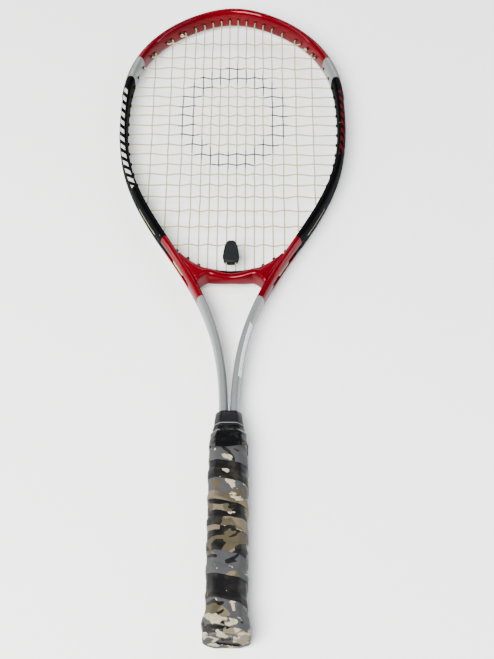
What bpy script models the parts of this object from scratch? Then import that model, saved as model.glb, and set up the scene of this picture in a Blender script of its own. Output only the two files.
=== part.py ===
"""Squash racket: bent alloy tube frame with a moulded yoke, strung, with a wrapped handle.

The racket lies flat with its head towards +Y and its strings in a level plane.
Every length below is in millimetres, and MM turns it into metres in the meshes.
"""
import math

import bmesh
import bpy
import numpy as np
from mathutils import Vector

MM = 0.001
GAP = 0.3                      # clearance between touching pieces
STRING_PLANE = 16.6            # height of the strings over the surface it lies on

# Frame tube: half of its centre line, from the tip of the head to the handle (x, y).
HALF_OUTLINE = [(0, 336.5), (34, 327.5), (81.5, 286.5), (99, 242.5), (103.3, 198.5),
                (96.7, 124.5), (67.6, 54.5), (32.4, -10.5), (12.3, -67.5), (4.6, -145)]
TUBE_END = -300.0
TUBE_WALL = 1.2
HALF_WIDTH = ([-100, 20, 60, 300, 330], [3.8, 3.9, 4.1, 4.2, 4.5])
HALF_HEIGHT = ([-100, -40, 20, 60], [8.3, 8.6, 9.6, 10.5])
GROOVE_DEPTH = ([-12, 2], [0.0, 3.0])
GROOVE_HALF = 3.0
CURVED_STEP = 17.5             # ring spacing on the bent stretch and on the straight ends
STRAIGHT_STEP = 60.0
CURVED_REACH = 560.0

# Throat yoke: its string side is an arc.
ARC_CENTRE_Y = 66.3
ARC_RADIUS = 62.3
YOKE_DEPTH = 8.0
YOKE_CORNER = math.radians(17.0)                # its lower edge leaves the arc here
YOKE_JOIN = math.radians(21.5)                  # and meets the tube here
YOKE_TIP = math.radians(46.0)
YOKE_HALF_HEIGHT = 6.6
YOKE_SIDE_RISE = 1.6

# Strings.
STRING_RADIUS = 0.6
MAINS_PER_SIDE = 8
CROSS_COUNT = 19
MAIN_PITCH = 8.3
MAIN_SPREAD = 14.4
CROSS_PITCH = 12.6
CROSS_MIDDLE = 173.0
WEAVE = 2 * STRING_RADIUS + GAP
LOOP_HEIGHT = 1.6              # mains loop above the middle of the groove, crosses below
BEND_REACH = 1.2               # a string turns this far in front of its grommet

# Grommets.
BARREL_RADIUS = 1.5
BORE_RADIUS = 1.1
HOLE_RADIUS = 2.1
BARREL_PROUD = 1.0
THROAT_PROUD = {6: 4.0, 5: 5.5, 4: 5.5}         # by main counted from the middle
THROAT_TILT = {6: 12.0, 5: 12.0, 4: -14.0}      # degrees
LOOP_DEPTH = 1.2                                # outside loops lie this far under the crest
LOW_SPREAD = 21.8                               # how far the outer crosses are spread
TIP_SPREAD = 10.4
STRIP_THICK = 0.6
STRIP_HALF = 2.4
THROAT_STRIP = (0.9, 4.6)      # thickness and half height
TUBE_FOOT_DEPTH = 3.8          # a slanted barrel ends this far under its loop
YOKE_FOOT_DEPTH = 1.8
LOOP_SLOT_RADIUS = 1.45
DRILL_EXTRA = 4.0              # a hole's cutter runs this far past it at both ends
BUMPER_REACH = 170.0           # arc length to each side of the tip
BUMPER_THICK = 1.9
KNOT = [(0.8, 0.6), (1.2, 1.25), (2.6, 1.25), (3.1, 0.5)]       # reach and radius
TIE_SHARES = (0.3, 0.5)        # where the two tie holes lie between their neighbours

# Handle, from the collar down to the butt.
COLLAR_TOP = -144.5
COLLAR_FOOT = -160.4
COLLAR_SIZE = [(10.9, 10.2), (11.2, 10.6), (12.6, 12.2)]        # top edge, below it, foot
COLLAR_BORE = (11.0, 10.8)
PALLET_TOP = -158.0
PALLET_FOOT = -338.0
CHANNEL_HALF = 8.9
GRIP_TOP = -160.7
GRIP_LINES = (-173.0, -188.0, -208.0)           # where the handle's taper changes
OVERGRIP_TOP = -166.0
TAPE_FOOT = -177.0
GRIP_FOOT = -320.0
FLARE = [(-321.0, 0.0), (-327.0, 1.4), (-332.0, 2.3), (-338.0, 2.3)]  # place and flare of the butt
BUTT_END = -343.0
PALLET_SIZE = ([-208, -188, -173, -158], [(13.8, 11.8), (13.2, 11.5), (12.0, 10.9), (10.4, 10.2)])
BUTT_OPENING = (8.0, 6.0)                       # left bare by the overgrip's folded end
CAP_STEP = 0.8                                  # the core is this much slimmer inside the cap
BASE_GRIP_THICK = 1.1
OVERGRIP_THICK = 0.8
TAPE_THICK = 0.4
BEVEL_SHARE = 0.45             # corner cut of the octagon, as a share of its half height
STAPLE_Y = -326.0
STAPLE_HALF = 5.0
STAPLE_WIRE = 0.8
STAPLE_LEG = 3.0

# Dampener, across the two middle mains (half width, low end, high end, height).
DAMPENER_LEVELS = [(6.0, 18.0, 31.5, -3.6), (7.0, 17.0, 32.5, -3.0), (7.0, 17.0, 32.5, -0.95),
                   (3.2, 17.0, 32.5, -0.95), (3.2, 17.0, 32.5, 0.95), (7.0, 17.0, 32.5, 0.95),
                   (7.0, 17.0, 32.5, 2.5), (8.6, 15.5, 40.5, 2.5), (8.6, 15.5, 40.5, 4.2),
                   (7.6, 16.5, 39.5, 4.9)]

LABEL_SPAN = (-109.0, -53.7)
LABEL_THICK = 0.2

RED = (0.42, 0.006, 0.02)
BLACK = (0.012, 0.012, 0.014)


# ---------------------------------------------------------------- scene and materials

def clear_scene():
    for obj in list(bpy.data.objects):
        bpy.data.objects.remove(obj)


def finish(name, colour, rough, metal=0.0):
    material = bpy.data.materials.new(name)
    material.use_nodes = True
    shader = material.node_tree.nodes["Principled BSDF"]
    shader.inputs["Base Color"].default_value = (*colour, 1.0)
    shader.inputs["Roughness"].default_value = rough
    shader.inputs["Metallic"].default_value = metal
    return material


# ---------------------------------------------------------------- mesh tools

def place(point):
    """A millimetre point measured from the string plane, in metres over the floor."""
    x, y, z = point
    return Vector((x * MM, y * MM, (z + STRING_PLANE) * MM))


def make_object(name, bm, material):
    bmesh.ops.recalc_face_normals(bm, faces=bm.faces)
    mesh = bpy.data.meshes.new(name)
    bm.to_mesh(mesh)
    bm.free()
    mesh.shade_smooth()
    mesh.set_sharp_from_angle(angle=math.radians(35))
    obj = bpy.data.objects.new(name, mesh)
    bpy.context.collection.objects.link(obj)
    if material:
        mesh.materials.append(material)
    return obj


def add_ring(bm, points):
    return [bm.verts.new(place(p)) for p in points]


def join_rings(bm, first, second):
    count = len(first)
    for i in range(count):
        j = (i + 1) % count
        bm.faces.new((first[i], first[j], second[j], second[i]))


def add_loft(bm, rings):
    """A closed solid through rings of equal point count, capped at both ends."""
    loops = [add_ring(bm, ring) for ring in rings]
    for first, second in zip(loops, loops[1:]):
        join_rings(bm, first, second)
    bm.faces.new(loops[0])
    bm.faces.new(loops[-1])


def add_pipe(bm, outer, inner):
    """A hollow solid between two lofts, open at both ends."""
    outside = [add_ring(bm, ring) for ring in outer]
    inside = [add_ring(bm, ring) for ring in inner]
    for loops in (outside, inside):
        for first, second in zip(loops, loops[1:]):
            join_rings(bm, first, second)
    join_rings(bm, outside[0], inside[0])
    join_rings(bm, outside[-1], inside[-1])


def loft(name, rings, material):
    bm = bmesh.new()
    add_loft(bm, rings)
    return make_object(name, bm, material)


def pipe(name, outer, inner, material):
    bm = bmesh.new()
    add_pipe(bm, outer, inner)
    return make_object(name, bm, material)


def ring_around(point, along, across, radius, sides=6):
    """Points of a regular polygon round a point; across is the stretched first axis."""
    point = Vector(point)
    other = Vector(along).cross(Vector(across)).normalized()
    turns = [2 * math.pi * (k + 0.5) / sides for k in range(sides)]
    return [point + radius * (math.cos(t) * Vector(across) + math.sin(t) * other) for t in turns]


def prism(start, end, radius):
    along = (Vector(end) - Vector(start)).normalized()
    up = Vector((0, 0, 1))
    return [ring_around(start, along, up, radius), ring_around(end, along, up, radius)]


def prisms(name, spans, radius):
    bm = bmesh.new()
    for start, end in spans:
        add_loft(bm, prism(start, end, radius))
    return helper(make_object(name, bm, None))


def helper(obj):
    obj.hide_render = True
    obj.display_type = 'WIRE'
    return obj


def combine(obj, other, operation):
    modifier = obj.modifiers.new(operation.title() + " " + other.name, 'BOOLEAN')
    modifier.operation = operation
    modifier.solver = 'EXACT'
    modifier.use_self = True       # neighbouring holes in one cutter may meet
    modifier.object = other
    return obj


def sweep_rings(points, radii, sides):
    """Rings of a round cord along a path, mitred at each bend."""
    points = [Vector(p) for p in points]
    rings = []
    across = Vector((0, 0, 1))
    for i, point in enumerate(points):
        before = (point - points[max(i - 1, 0)]).normalized()
        after = (points[min(i + 1, len(points) - 1)] - point).normalized()
        if before.length == 0:
            before = after
        if after.length == 0:
            after = before
        along = (before + after).normalized()
        across = (across - across.dot(along) * along).normalized()
        turn = after - before
        ring = []
        for p in ring_around(point, along, across, radii[i], sides):
            offset = p - point
            if turn.length > 1e-4:
                side = (turn - turn.dot(along) * along).normalized()
                stretch = 1 / max(along.dot(after), 0.5) - 1
                offset = offset + side * offset.dot(side) * stretch
            ring.append(point + offset)
        rings.append(ring)
    return rings


# ---------------------------------------------------------------- the frame's centre line

def spline(points, start, end, samples=900):
    """Clamped cubic spline through the points, sampled evenly in chord length."""
    knots = np.array(points, float)
    chord = np.concatenate([[0], np.cumsum(np.hypot(*np.diff(knots, axis=0).T))])
    span = np.diff(chord)
    count = len(chord)
    matrix = np.eye(count)
    target = np.zeros((count, 2))
    target[0] = start
    target[-1] = end
    for i in range(1, count - 1):
        low, high = span[i - 1], span[i]
        matrix[i, i - 1:i + 2] = (high, 2 * (low + high), low)
        rise = (knots[i] - knots[i - 1]) / low
        fall = (knots[i + 1] - knots[i]) / high
        target[i] = 3 * (high * rise + low * fall)
    slopes = np.linalg.solve(matrix, target)
    at = np.linspace(0, chord[-1], samples)
    k = np.clip(np.searchsorted(chord, at, side='right') - 1, 0, count - 2)
    width = span[k][:, None]
    t = ((at - chord[k]) / span[k])[:, None]
    return ((2 * t**3 - 3 * t**2 + 1) * knots[k] + (t**3 - 2 * t**2 + t) * width * slopes[k]
            + (3 * t**2 - 2 * t**3) * knots[k + 1] + (t**3 - t**2) * width * slopes[k + 1])


CURVE = np.vstack([spline(HALF_OUTLINE, (1, 0), (0, -1)), (HALF_OUTLINE[-1][0], TUBE_END)])
REACH = np.concatenate([[0], np.cumsum(np.hypot(*np.diff(CURVE, axis=0).T))])
SLOPE = np.gradient(CURVE, REACH, axis=0)
HALF_LENGTH = float(REACH[-1])


def centre(s):
    """Centre line at arc length s from the tip; negative s is the left half."""
    x = float(np.interp(abs(s), REACH, CURVE[:, 0]))
    y = float(np.interp(abs(s), REACH, CURVE[:, 1]))
    return (math.copysign(x, s) if s else 0.0, y)


def outward(s):
    dx = float(np.interp(abs(s), REACH, SLOPE[:, 0]))
    dy = float(np.interp(abs(s), REACH, SLOPE[:, 1]))
    length = math.hypot(dx, dy)
    return (-dy / length * (1 if s >= 0 else -1), dx / length)


def width_at(s):
    return float(np.interp(centre(s)[1], *HALF_WIDTH))


def height_at(s):
    return float(np.interp(centre(s)[1], *HALF_HEIGHT))


def groove_at(s):
    return float(np.interp(centre(s)[1], *GROOVE_DEPTH))


def at_tube(s, out, z=0.0):
    """A point by its place along the tube, its distance outward and its height."""
    x, y = centre(s)
    nx, ny = outward(s)
    return (x + nx * out, y + ny * out, z)


def stations(start, end):
    """The shared ring places between two arc lengths, with both ends added."""
    curved = np.arange(0, CURVED_REACH, CURVED_STEP)
    straight = np.arange(CURVED_REACH, HALF_LENGTH, STRAIGHT_STEP)
    half = np.concatenate([curved, straight])
    full = np.concatenate([-half[:0:-1], half])
    inside = [float(s) for s in full if start + 2 < s < end - 2]
    return [start] + inside + [end]


def find_station(value, axis, depth, low, high):
    """Where along the tube the point at depth outward has the coordinate value."""
    places = np.linspace(low, high, 800)
    found = [at_tube(s, depth(s))[axis] - value for s in places]
    for a, b, fa, fb in zip(places, places[1:], found, found[1:]):
        if fa == 0 or fa * fb < 0:
            return float(a + (b - a) * fa / (fa - fb))
    raise ValueError("no crossing for %s" % value)


# ---------------------------------------------------------------- frame tube

def mirrored(upper):
    """A section's lower half added to its upper half, each point as (out, height)."""
    return upper + [(out, -z) for out, z in reversed(upper)]


def tube_section(s):
    a, b, g = width_at(s), height_at(s), groove_at(s)
    return mirrored([(a - g, GROOVE_HALF), (0.985 * a, GROOVE_HALF + 0.6), (0.80 * a, 0.68 * b),
                     (0.05 * a, b), (-0.80 * a, 0.75 * b), (-a, 0.3 * b)])


def hollow_section(s):
    a, b, g = width_at(s), height_at(s), groove_at(s)
    w = TUBE_WALL
    floor = a - g - w
    return mirrored([(floor, 2.2), (floor, 4.0), (0.8 * a - w, 0.68 * b - 0.6 * w),
                     (0.05 * a, b - w), (0.7 * w - 0.8 * a, 0.75 * b - 0.7 * w),
                     (w - a, 0.3 * b)])


def section_ring(s, section):
    return [at_tube(s, out, z) for out, z in section]


def frame_tube(material):
    places = stations(-HALF_LENGTH, HALF_LENGTH)
    outer = [section_ring(s, tube_section(s)) for s in places]
    inner = [section_ring(s, hollow_section(s)) for s in places]
    return pipe("frame_tube", outer, inner, material)


# ---------------------------------------------------------------- throat yoke

def arc_point(angle, radius):
    return (radius * math.sin(angle), ARC_CENTRE_Y - radius * math.cos(angle))


def tube_side_radius(angle):
    """How far out along a ray from the arc's centre the tube's inner side lies."""
    places = np.linspace(360, HALF_LENGTH - 150, 500)
    side = [at_tube(s, -width_at(s) - GAP) for s in places]
    turns = [math.atan2(x, ARC_CENTRE_Y - y) for x, y, _ in side]
    reach = [math.hypot(x, ARC_CENTRE_Y - y) for x, y, _ in side]
    return float(np.interp(-angle, [-t for t in turns], reach))


def yoke_outer_radius(angle):
    angle = abs(angle)
    plain = ARC_RADIUS + YOKE_DEPTH
    if angle <= YOKE_CORNER:
        return plain
    if angle >= YOKE_JOIN:
        return tube_side_radius(angle)
    share = (angle - YOKE_CORNER) / (YOKE_JOIN - YOKE_CORNER)
    return plain + (tube_side_radius(YOKE_JOIN) - plain) * share**2.5


def yoke_ring(angle):
    near = ARC_RADIUS
    far = yoke_outer_radius(angle)
    a = (far - near) / 2
    b = YOKE_HALF_HEIGHT + YOKE_SIDE_RISE * min(abs(angle) / YOKE_CORNER, 1.0)
    middle = (far + near) / 2
    upper = [(a, 0.3 * b), (0.8 * a, 0.78 * b), (0, b), (-0.8 * a, 0.78 * b), (-a, 0.3 * b)]
    return [(*arc_point(angle, middle + out), z) for out, z in mirrored(upper)]


def throat_bridge(material):
    side = [math.radians(d) for d in (5, 9, 13, 17, 18.5, 20, 21.5, 24, 28, 33, 39)] + [YOKE_TIP]
    angles = [-t for t in reversed(side)] + [0.0] + side
    return loft("throat_bridge", [yoke_ring(t) for t in angles], material)


# ---------------------------------------------------------------- string places

def main_x(k):
    """Half-span place of main k, counted 1 to 8 from the middle."""
    spread = max(0.0, (k - 3.5) / 4.5) ** 3.1
    return MAIN_PITCH * (k - 0.5) + MAIN_SPREAD * spread


def cross_y(j):
    """Height along the racket of cross j, counted 0 at the tip."""
    step = j - CROSS_COUNT // 2
    far = max(0.0, (abs(step) - 4) / 5)
    extra = TIP_SPREAD * far**4.5 if step < 0 else -LOW_SPREAD * far**2.4
    return CROSS_MIDDLE - CROSS_PITCH * step + extra


def flip(point, side):
    return (side * point[0], point[1], point[2])


def bend_depth(s):
    return -(width_at(s) + BARREL_PROUD + BEND_REACH)


def tube_hole(s):
    """A hole square through the tube: where its string bends, and its two ends."""
    a = width_at(s)
    floor = a - groove_at(s)
    return {"s": s, "turns": False, "bend": at_tube(s, bend_depth(s)),
            "tip": at_tube(s, -a - BARREL_PROUD),
            "foot": at_tube(s, floor + GAP + STRIP_THICK / 2),
            "exit": at_tube(s, a - LOOP_DEPTH)}


def top_main_hole(k):
    return tube_hole(find_station(main_x(k), 0, bend_depth, 0.5, 190))


def cross_hole(j):
    low = 45 if j < CROSS_COUNT // 2 else 200
    return tube_hole(find_station(cross_y(j), 1, bend_depth, low, 470))


def low_main_hole(k):
    """Mains 7 and 8 pass the tube, 4 to 6 stand in throat grommets, 1 to 3 in the yoke."""
    x = main_x(k)
    if k >= 7:
        return tube_hole(find_station(x, 0, bend_depth, 260, 470))
    tilt = math.radians(THROAT_TILT.get(k, 0.0))
    aim = Vector((math.sin(tilt), -math.cos(tilt), 0))
    proud = THROAT_PROUD.get(k, BARREL_PROUD + GAP)
    face_x = x + aim.x * (proud + BEND_REACH)
    face = Vector((face_x, ARC_CENTRE_Y - math.sqrt(ARC_RADIUS**2 - face_x**2), 0))
    hole = {"s": None, "turns": k == 5, "tip": tuple(face - aim * proud),
            "bend": tuple(face - aim * (proud + BEND_REACH))}
    if k >= 5:
        hole["s"], hole["exit"] = line_exit(face, aim)
        hole["foot"] = tuple(Vector(hole["exit"]) - aim * TUBE_FOOT_DEPTH)
    else:
        hole["exit"] = yoke_exit(face, aim)
        hole["foot"] = tuple(Vector(hole["exit"]) - aim * YOKE_FOOT_DEPTH)
    return hole


def line_exit(start, aim):
    """Where a slanted hole comes out in the tube's outer groove."""
    places = np.linspace(330, 560, 2300)
    points = [Vector(at_tube(s, width_at(s) - LOOP_DEPTH)) for s in places]
    misses = [abs((p - start).cross(aim).z) for p in points]
    best = int(np.argmin(misses))
    return float(places[best]), tuple(points[best])


def yoke_exit(start, aim):
    """Where a hole comes out, a string's depth under the yoke's lower side."""
    for step in np.linspace(2, 30, 561):
        point = start + aim * float(step)
        angle = math.atan2(point.x, ARC_CENTRE_Y - point.y)
        if math.hypot(point.x, ARC_CENTRE_Y - point.y) >= yoke_outer_radius(angle) - 0.9:
            return tuple(point)
    raise ValueError("hole does not leave the yoke")


# ---------------------------------------------------------------- strings

def groove_run(start, end, z):
    """String points along the groove between two arc lengths, ends left out."""
    low, high = min(start, end), max(start, end)
    inner = [s for s in stations(low, high) if low + 2.5 < s < high - 2.5]
    places = [low + 1.4] + inner + [high - 1.4]
    points = [at_tube(s, width_at(s) - LOOP_DEPTH, z) for s in places]
    return points if start < end else points[::-1]


def with_side(hole, side):
    """The hole mirrored to the left when side is -1."""
    keys = ("bend", "tip", "foot", "exit")
    found = {key: flip(hole[key], side) for key in keys}
    found["s"] = None if hole["s"] is None else side * hole["s"]
    found["turns"] = hole["turns"]
    return found


def main_holes():
    """Top and bottom holes of all sixteen mains, from left to right."""
    order = [(-1, k) for k in range(MAINS_PER_SIDE, 0, -1)]
    order += [(1, k) for k in range(1, MAINS_PER_SIDE + 1)]
    top = {k: top_main_hole(k) for k in range(1, MAINS_PER_SIDE + 1)}
    low = {k: low_main_hole(k) for k in range(1, MAINS_PER_SIDE + 1)}
    return ([with_side(top[k], side) for side, k in order],
            [with_side(low[k], side) for side, k in order])


def outside_loop(first, second, z):
    """From one hole's outer end to the next one's, in the groove or under the yoke."""
    if first["s"] is None or second["s"] is None:
        return [first["exit"], second["exit"]]
    run = groove_run(first["s"], second["s"], z)
    return [first["exit"]] + u_turn(first, z) + run + u_turn(second, z) + [second["exit"]]


def u_turn(hole, z):
    """The extra point where a loop turns back over a slanted hole."""
    if not hole["turns"]:
        return []
    s = hole["s"] + math.copysign(1.1, hole["s"])
    return [at_tube(s, width_at(s) - LOOP_DEPTH, z / 2)]


def tie_hole(first, share, second):
    """An extra grommet between two others, where a string's end comes back in."""
    return tube_hole(first["s"] + share * (second["s"] - first["s"]))


def knot(points, radii, aim):
    """Ends a string in a small lump that points along aim."""
    last = Vector(points[-1])
    for reach, radius in KNOT:
        points.append(tuple(last + Vector(aim) * reach))
        radii.append(radius)


def main_string(top, low, ties, material):
    """One length: up and down all mains, both ends tied off at the head."""
    points = []
    for i in range(2 * MAINS_PER_SIDE):
        upward = i % 2 == 1
        first, second = (low[i], top[i]) if upward else (top[i], low[i])
        points += [first["bend"], second["bend"]]
        if i + 1 < 2 * MAINS_PER_SIDE:
            following = (top if upward else low)[i + 1]
            points += outside_loop(second, following, LOOP_HEIGHT)
    points = tail(top[0], ties[0])[::-1] + points + tail(top[-1], ties[1])
    radii = [STRING_RADIUS] * len(points)
    knot(points, radii, inward_of(ties[1]))
    points.reverse()
    radii.reverse()
    knot(points, radii, inward_of(ties[0]))
    return loft("main_string", sweep_rings(points, radii, 6), material)


def inward_of(hole):
    return (Vector(hole["bend"]) - Vector(hole["exit"])).normalized()


def tail(hole, tie):
    z = -LOOP_HEIGHT if hole["s"] < 0 else LOOP_HEIGHT
    return outside_loop(hole, tie, z) + [tie["tip"]]


def weave_row(j, edge, top, low):
    """Where cross j passes over and under the mains; it rises more close to the frame."""
    y = cross_y(j)
    row = []
    for i, (upper, lower) in enumerate(zip(top, low)):
        x = upper["bend"][0]
        room = edge - abs(x)
        if room > 1.8 and lower["bend"][1] < y < upper["bend"][1]:
            lift = WEAVE * room / math.sqrt(room**2 - WEAVE**2)
            row.append((x, y, lift if (i + j) % 2 else -lift))
    return row


def cross_string(holes, top, low, material):
    """One length woven over and under the mains, from the tip down."""
    points = []
    for j in range(CROSS_COUNT):
        left, right = holes[j]
        woven = weave_row(j, right["bend"][0], top, low)
        row = [left["bend"]] + woven + [right["bend"]]
        pair = (left, right)
        if j % 2:
            row.reverse()
            pair = (right, left)
        if j:
            points += outside_loop(holes[j - 1][j % 2], pair[0], -LOOP_HEIGHT)
        else:
            points.append(pair[0]["exit"])
        points += row
    points.append(holes[-1][1]["exit"])
    radii = [STRING_RADIUS] * len(points)
    return loft("cross_string", sweep_rings(points, radii, 4), material)


# ---------------------------------------------------------------- grommets and bumper

def strip_ring(s):
    floor = width_at(s) - groove_at(s) + GAP
    upper = [(floor + STRIP_THICK, STRIP_HALF), (floor, STRIP_HALF)]
    return section_ring(s, mirrored(upper))


def grommet_strip(name, start, end, holes, material):
    """A strip in the outer groove with a hollow barrel for each string."""
    strip = loft(name, [strip_ring(s) for s in stations(start, end)], material)
    return add_barrels(strip, holes)


def add_barrels(strip, holes):
    barrels = prisms(strip.name + "_barrels", [(h["foot"], h["tip"]) for h in holes], BARREL_RADIUS)
    bores = prisms(strip.name + "_bores", [through(h, 2.0) for h in holes], BORE_RADIUS)
    combine(strip, barrels, 'UNION')
    return combine(strip, bores, 'DIFFERENCE')


def through(hole, extra):
    """The hole's axis, carried past both of its ends."""
    tip, foot = Vector(hole["tip"]), Vector(hole["foot"])
    aim = (foot - tip).normalized()
    return tuple(tip - aim * extra), tuple(foot + aim * extra)


def throat_grommet(name, hole, material):
    """A single hollow barrel, open at both ends."""
    return pipe(name, prism(hole["tip"], hole["foot"], BARREL_RADIUS),
                prism(hole["tip"], hole["foot"], BORE_RADIUS), material)


def throat_strip(holes, material):
    angles = [math.radians(d) for d in (-15, -9, -3, 3, 9, 15)]
    thick, half = THROAT_STRIP
    near, far = ARC_RADIUS - GAP - thick, ARC_RADIUS - GAP
    rings = []
    for angle in angles:
        upper = [(far, half), (near, half)]
        rings.append([(*arc_point(angle, r), z) for r, z in mirrored(upper)])
    strip = loft("throat_grommet_strip", rings, material)
    return add_barrels(strip, holes)


def bumper_guard(reach, material):
    rings = []
    for s in stations(-reach, reach):
        a = width_at(s)
        thick = BUMPER_THICK - max(0.0, abs(s) / reach - 0.8) / 0.2
        upper = [(a + GAP, 3.8), (a - 0.2, 6.2), (a + 0.45, 6.6), (a + thick, 3.4)]
        rings.append(section_ring(s, [upper[3], upper[2], upper[1], upper[0]]
                                  + [(out, -z) for out, z in upper]))
    return loft("bumper_guard", rings, material)


# ---------------------------------------------------------------- handle

def octagon(y, half_x, half_z):
    cut = BEVEL_SHARE * half_z
    quarter = [(half_x, half_z - cut), (half_x - cut, half_z)]
    upper = quarter + [(-x, z) for x, z in reversed(quarter)]
    return [(x, y, z) for x, z in upper + [(-x, -z) for x, z in upper]]


def pallet_size(y, extra=0.0):
    widths = float(np.interp(y, PALLET_SIZE[0], [size[0] for size in PALLET_SIZE[1]]))
    heights = float(np.interp(y, PALLET_SIZE[0], [size[1] for size in PALLET_SIZE[1]]))
    return widths + extra, heights + extra


def handle_pallet(name, up, material):
    """Half of the handle's core, with a channel for the two tube ends."""
    rings = []
    for y in (PALLET_TOP,) + GRIP_LINES + (GRIP_FOOT, GRIP_FOOT - 0.2, PALLET_FOOT):
        w, h = pallet_size(y, -CAP_STEP if y < GRIP_FOOT else 0.0)
        cut = BEVEL_SHARE * h
        c = CHANNEL_HALF
        section = [(w, GAP / 2), (w, h - cut), (w - cut, h), (cut - w, h), (-w, h - cut),
                   (-w, GAP / 2), (-c, GAP / 2), (-c, c - 2), (2 - c, c), (c - 2, c),
                   (c, c - 2), (c, GAP / 2)]
        rings.append([(x, y, z * up) for x, z in section])
    return loft(name, rings, material)


def sleeve(name, outer, inner, material):
    """A hollow octagonal sleeve from lists of (y, half width, half height)."""
    return pipe(name, [octagon(*size) for size in outer], [octagon(*size) for size in inner],
                material)


def cup(name, outer, inner, material):
    """An octagonal cup: open at its first ring, closed at its last."""
    bm = bmesh.new()
    outside = [add_ring(bm, octagon(*size)) for size in outer]
    inside = [add_ring(bm, octagon(*size)) for size in inner]
    for loops in (outside, inside):
        for first, second in zip(loops, loops[1:]):
            join_rings(bm, first, second)
        bm.faces.new(loops[-1])
    join_rings(bm, outside[0], inside[0])
    return make_object(name, bm, material)


def base_grip(material):
    lines = (GRIP_TOP,) + GRIP_LINES + (GRIP_FOOT,)
    outer = [(y, *pallet_size(y, GAP + BASE_GRIP_THICK)) for y in lines]
    inner = [(y, *pallet_size(y, GAP)) for y in lines]
    return sleeve("base_grip", outer, inner, material)


def butt_cap(material):
    fit = GAP + BASE_GRIP_THICK
    outer = [(y, *pallet_size(y, fit + flare)) for y, flare in FLARE]
    outer.append((BUTT_END + 1.4, *pallet_size(PALLET_FOOT, fit + 1.2)))
    inner = [(y, *pallet_size(y, GAP - CAP_STEP)) for y in (FLARE[0][0], PALLET_FOOT - GAP)]
    return cup("butt_cap", outer, inner, material)


def overgrip(material):
    wrap = GAP + BASE_GRIP_THICK + GAP
    inner = [(y, *pallet_size(y, wrap)) for y in (OVERGRIP_TOP,) + GRIP_LINES]
    inner += [(y, *pallet_size(y, wrap + flare)) for y, flare in FLARE]
    outer = [(y, w + OVERGRIP_THICK, h + OVERGRIP_THICK) for y, w, h in inner]
    inner += [(BUTT_END + 1.1, *pallet_size(PALLET_FOOT, wrap + 1.2)),
              (BUTT_END + 1.1, *BUTT_OPENING)]
    outer += [(BUTT_END + 1.0, *pallet_size(PALLET_FOOT, wrap + OVERGRIP_THICK + 1.7)),
              (BUTT_END, *pallet_size(PALLET_FOOT, wrap + 0.6)), (BUTT_END, *BUTT_OPENING)]
    return sleeve("overgrip", outer, inner, material)


def finishing_tape(material):
    under = GAP + BASE_GRIP_THICK + GAP
    over = under + OVERGRIP_THICK + GAP
    steps = [(GRIP_TOP, under), (OVERGRIP_TOP + 0.8, under), (OVERGRIP_TOP + GAP, over),
             (GRIP_LINES[0], over), (TAPE_FOOT, over)]
    inner = [(y, *pallet_size(y, extra)) for y, extra in steps]
    outer = [(y, w + TAPE_THICK, h + TAPE_THICK) for y, w, h in inner]
    return sleeve("finishing_tape", outer, inner, material)


def collar(material):
    outer = [(y, *size) for y, size in zip((COLLAR_TOP, COLLAR_TOP - 1, COLLAR_FOOT), COLLAR_SIZE)]
    channel = (CHANNEL_HALF, CHANNEL_HALF)
    inner = [(COLLAR_TOP, *channel), (PALLET_TOP + GAP, *channel),
             (PALLET_TOP + GAP, *COLLAR_BORE), (COLLAR_FOOT, *COLLAR_BORE)]
    return sleeve("collar", outer, inner, material)


def staple_shapes(grow):
    """Crown and two legs of each staple, one above and one below, as box spans."""
    spans = []
    crown = pallet_size(STAPLE_Y, GAP + BASE_GRIP_THICK)[1] + 0.5
    for up in (1, -1):
        top, under, deep = crown + grow, crown - STAPLE_WIRE - grow, crown - STAPLE_LEG - grow
        y0, y1 = STAPLE_Y - STAPLE_WIRE / 2 - grow, STAPLE_Y + STAPLE_WIRE / 2 + grow
        heights = sorted((up * under, up * top))
        spans.append((-STAPLE_HALF - grow, STAPLE_HALF + grow, y0, y1, *heights))
        for side in (-1, 1):
            middle = side * (STAPLE_HALF - STAPLE_WIRE / 2)
            half = STAPLE_WIRE / 2 + grow
            heights = sorted((up * deep, up * (top - 0.1)))
            spans.append((middle - half, middle + half, y0 + 0.01, y1 - 0.01, *heights))
    return spans


def staple_profile(up):
    """The staple as one bent outline, so that each is a single solid."""
    crown = pallet_size(STAPLE_Y, GAP + BASE_GRIP_THICK)[1] + 0.5
    h, w = STAPLE_HALF, STAPLE_WIRE
    deep, under = crown - STAPLE_LEG, crown - w
    outline = [(-h, deep), (-h, crown), (h, crown), (h, deep), (h - w, deep), (h - w, under),
               (w - h, under), (w - h, deep)]
    return [[(x, y, z * up) for x, z in outline] for y in (STAPLE_Y - w / 2, STAPLE_Y + w / 2)]


def butt_staple(name, up, material):
    return loft(name, staple_profile(up), material)


def staple_cutter():
    bm = bmesh.new()
    for up in (1, -1):
        spans = staple_shapes(GAP)
        half = spans[:3] if up == 1 else spans[3:]
        add_loft(bm, staple_slot(half))
    return helper(make_object("staple_slots", bm, None))


def staple_slot(boxes):
    """The slot's outline: the crown box with both legs hanging from it."""
    crown, left, right = boxes
    up = 1 if crown[5] > 0 else -1
    deep = left[4] if up == 1 else left[5]
    under = crown[4] if up == 1 else crown[5]
    top = crown[5] + 1.5 if up == 1 else crown[4] - 1.5
    outline = [(crown[0], deep), (crown[0], top), (crown[1], top), (crown[1], deep),
               (right[0], deep), (right[0], under), (left[1], under), (left[1], deep)]
    return [[(x, y, z) for x, z in outline] for y in (crown[2], crown[3])]


# ---------------------------------------------------------------- dampener and label

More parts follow.
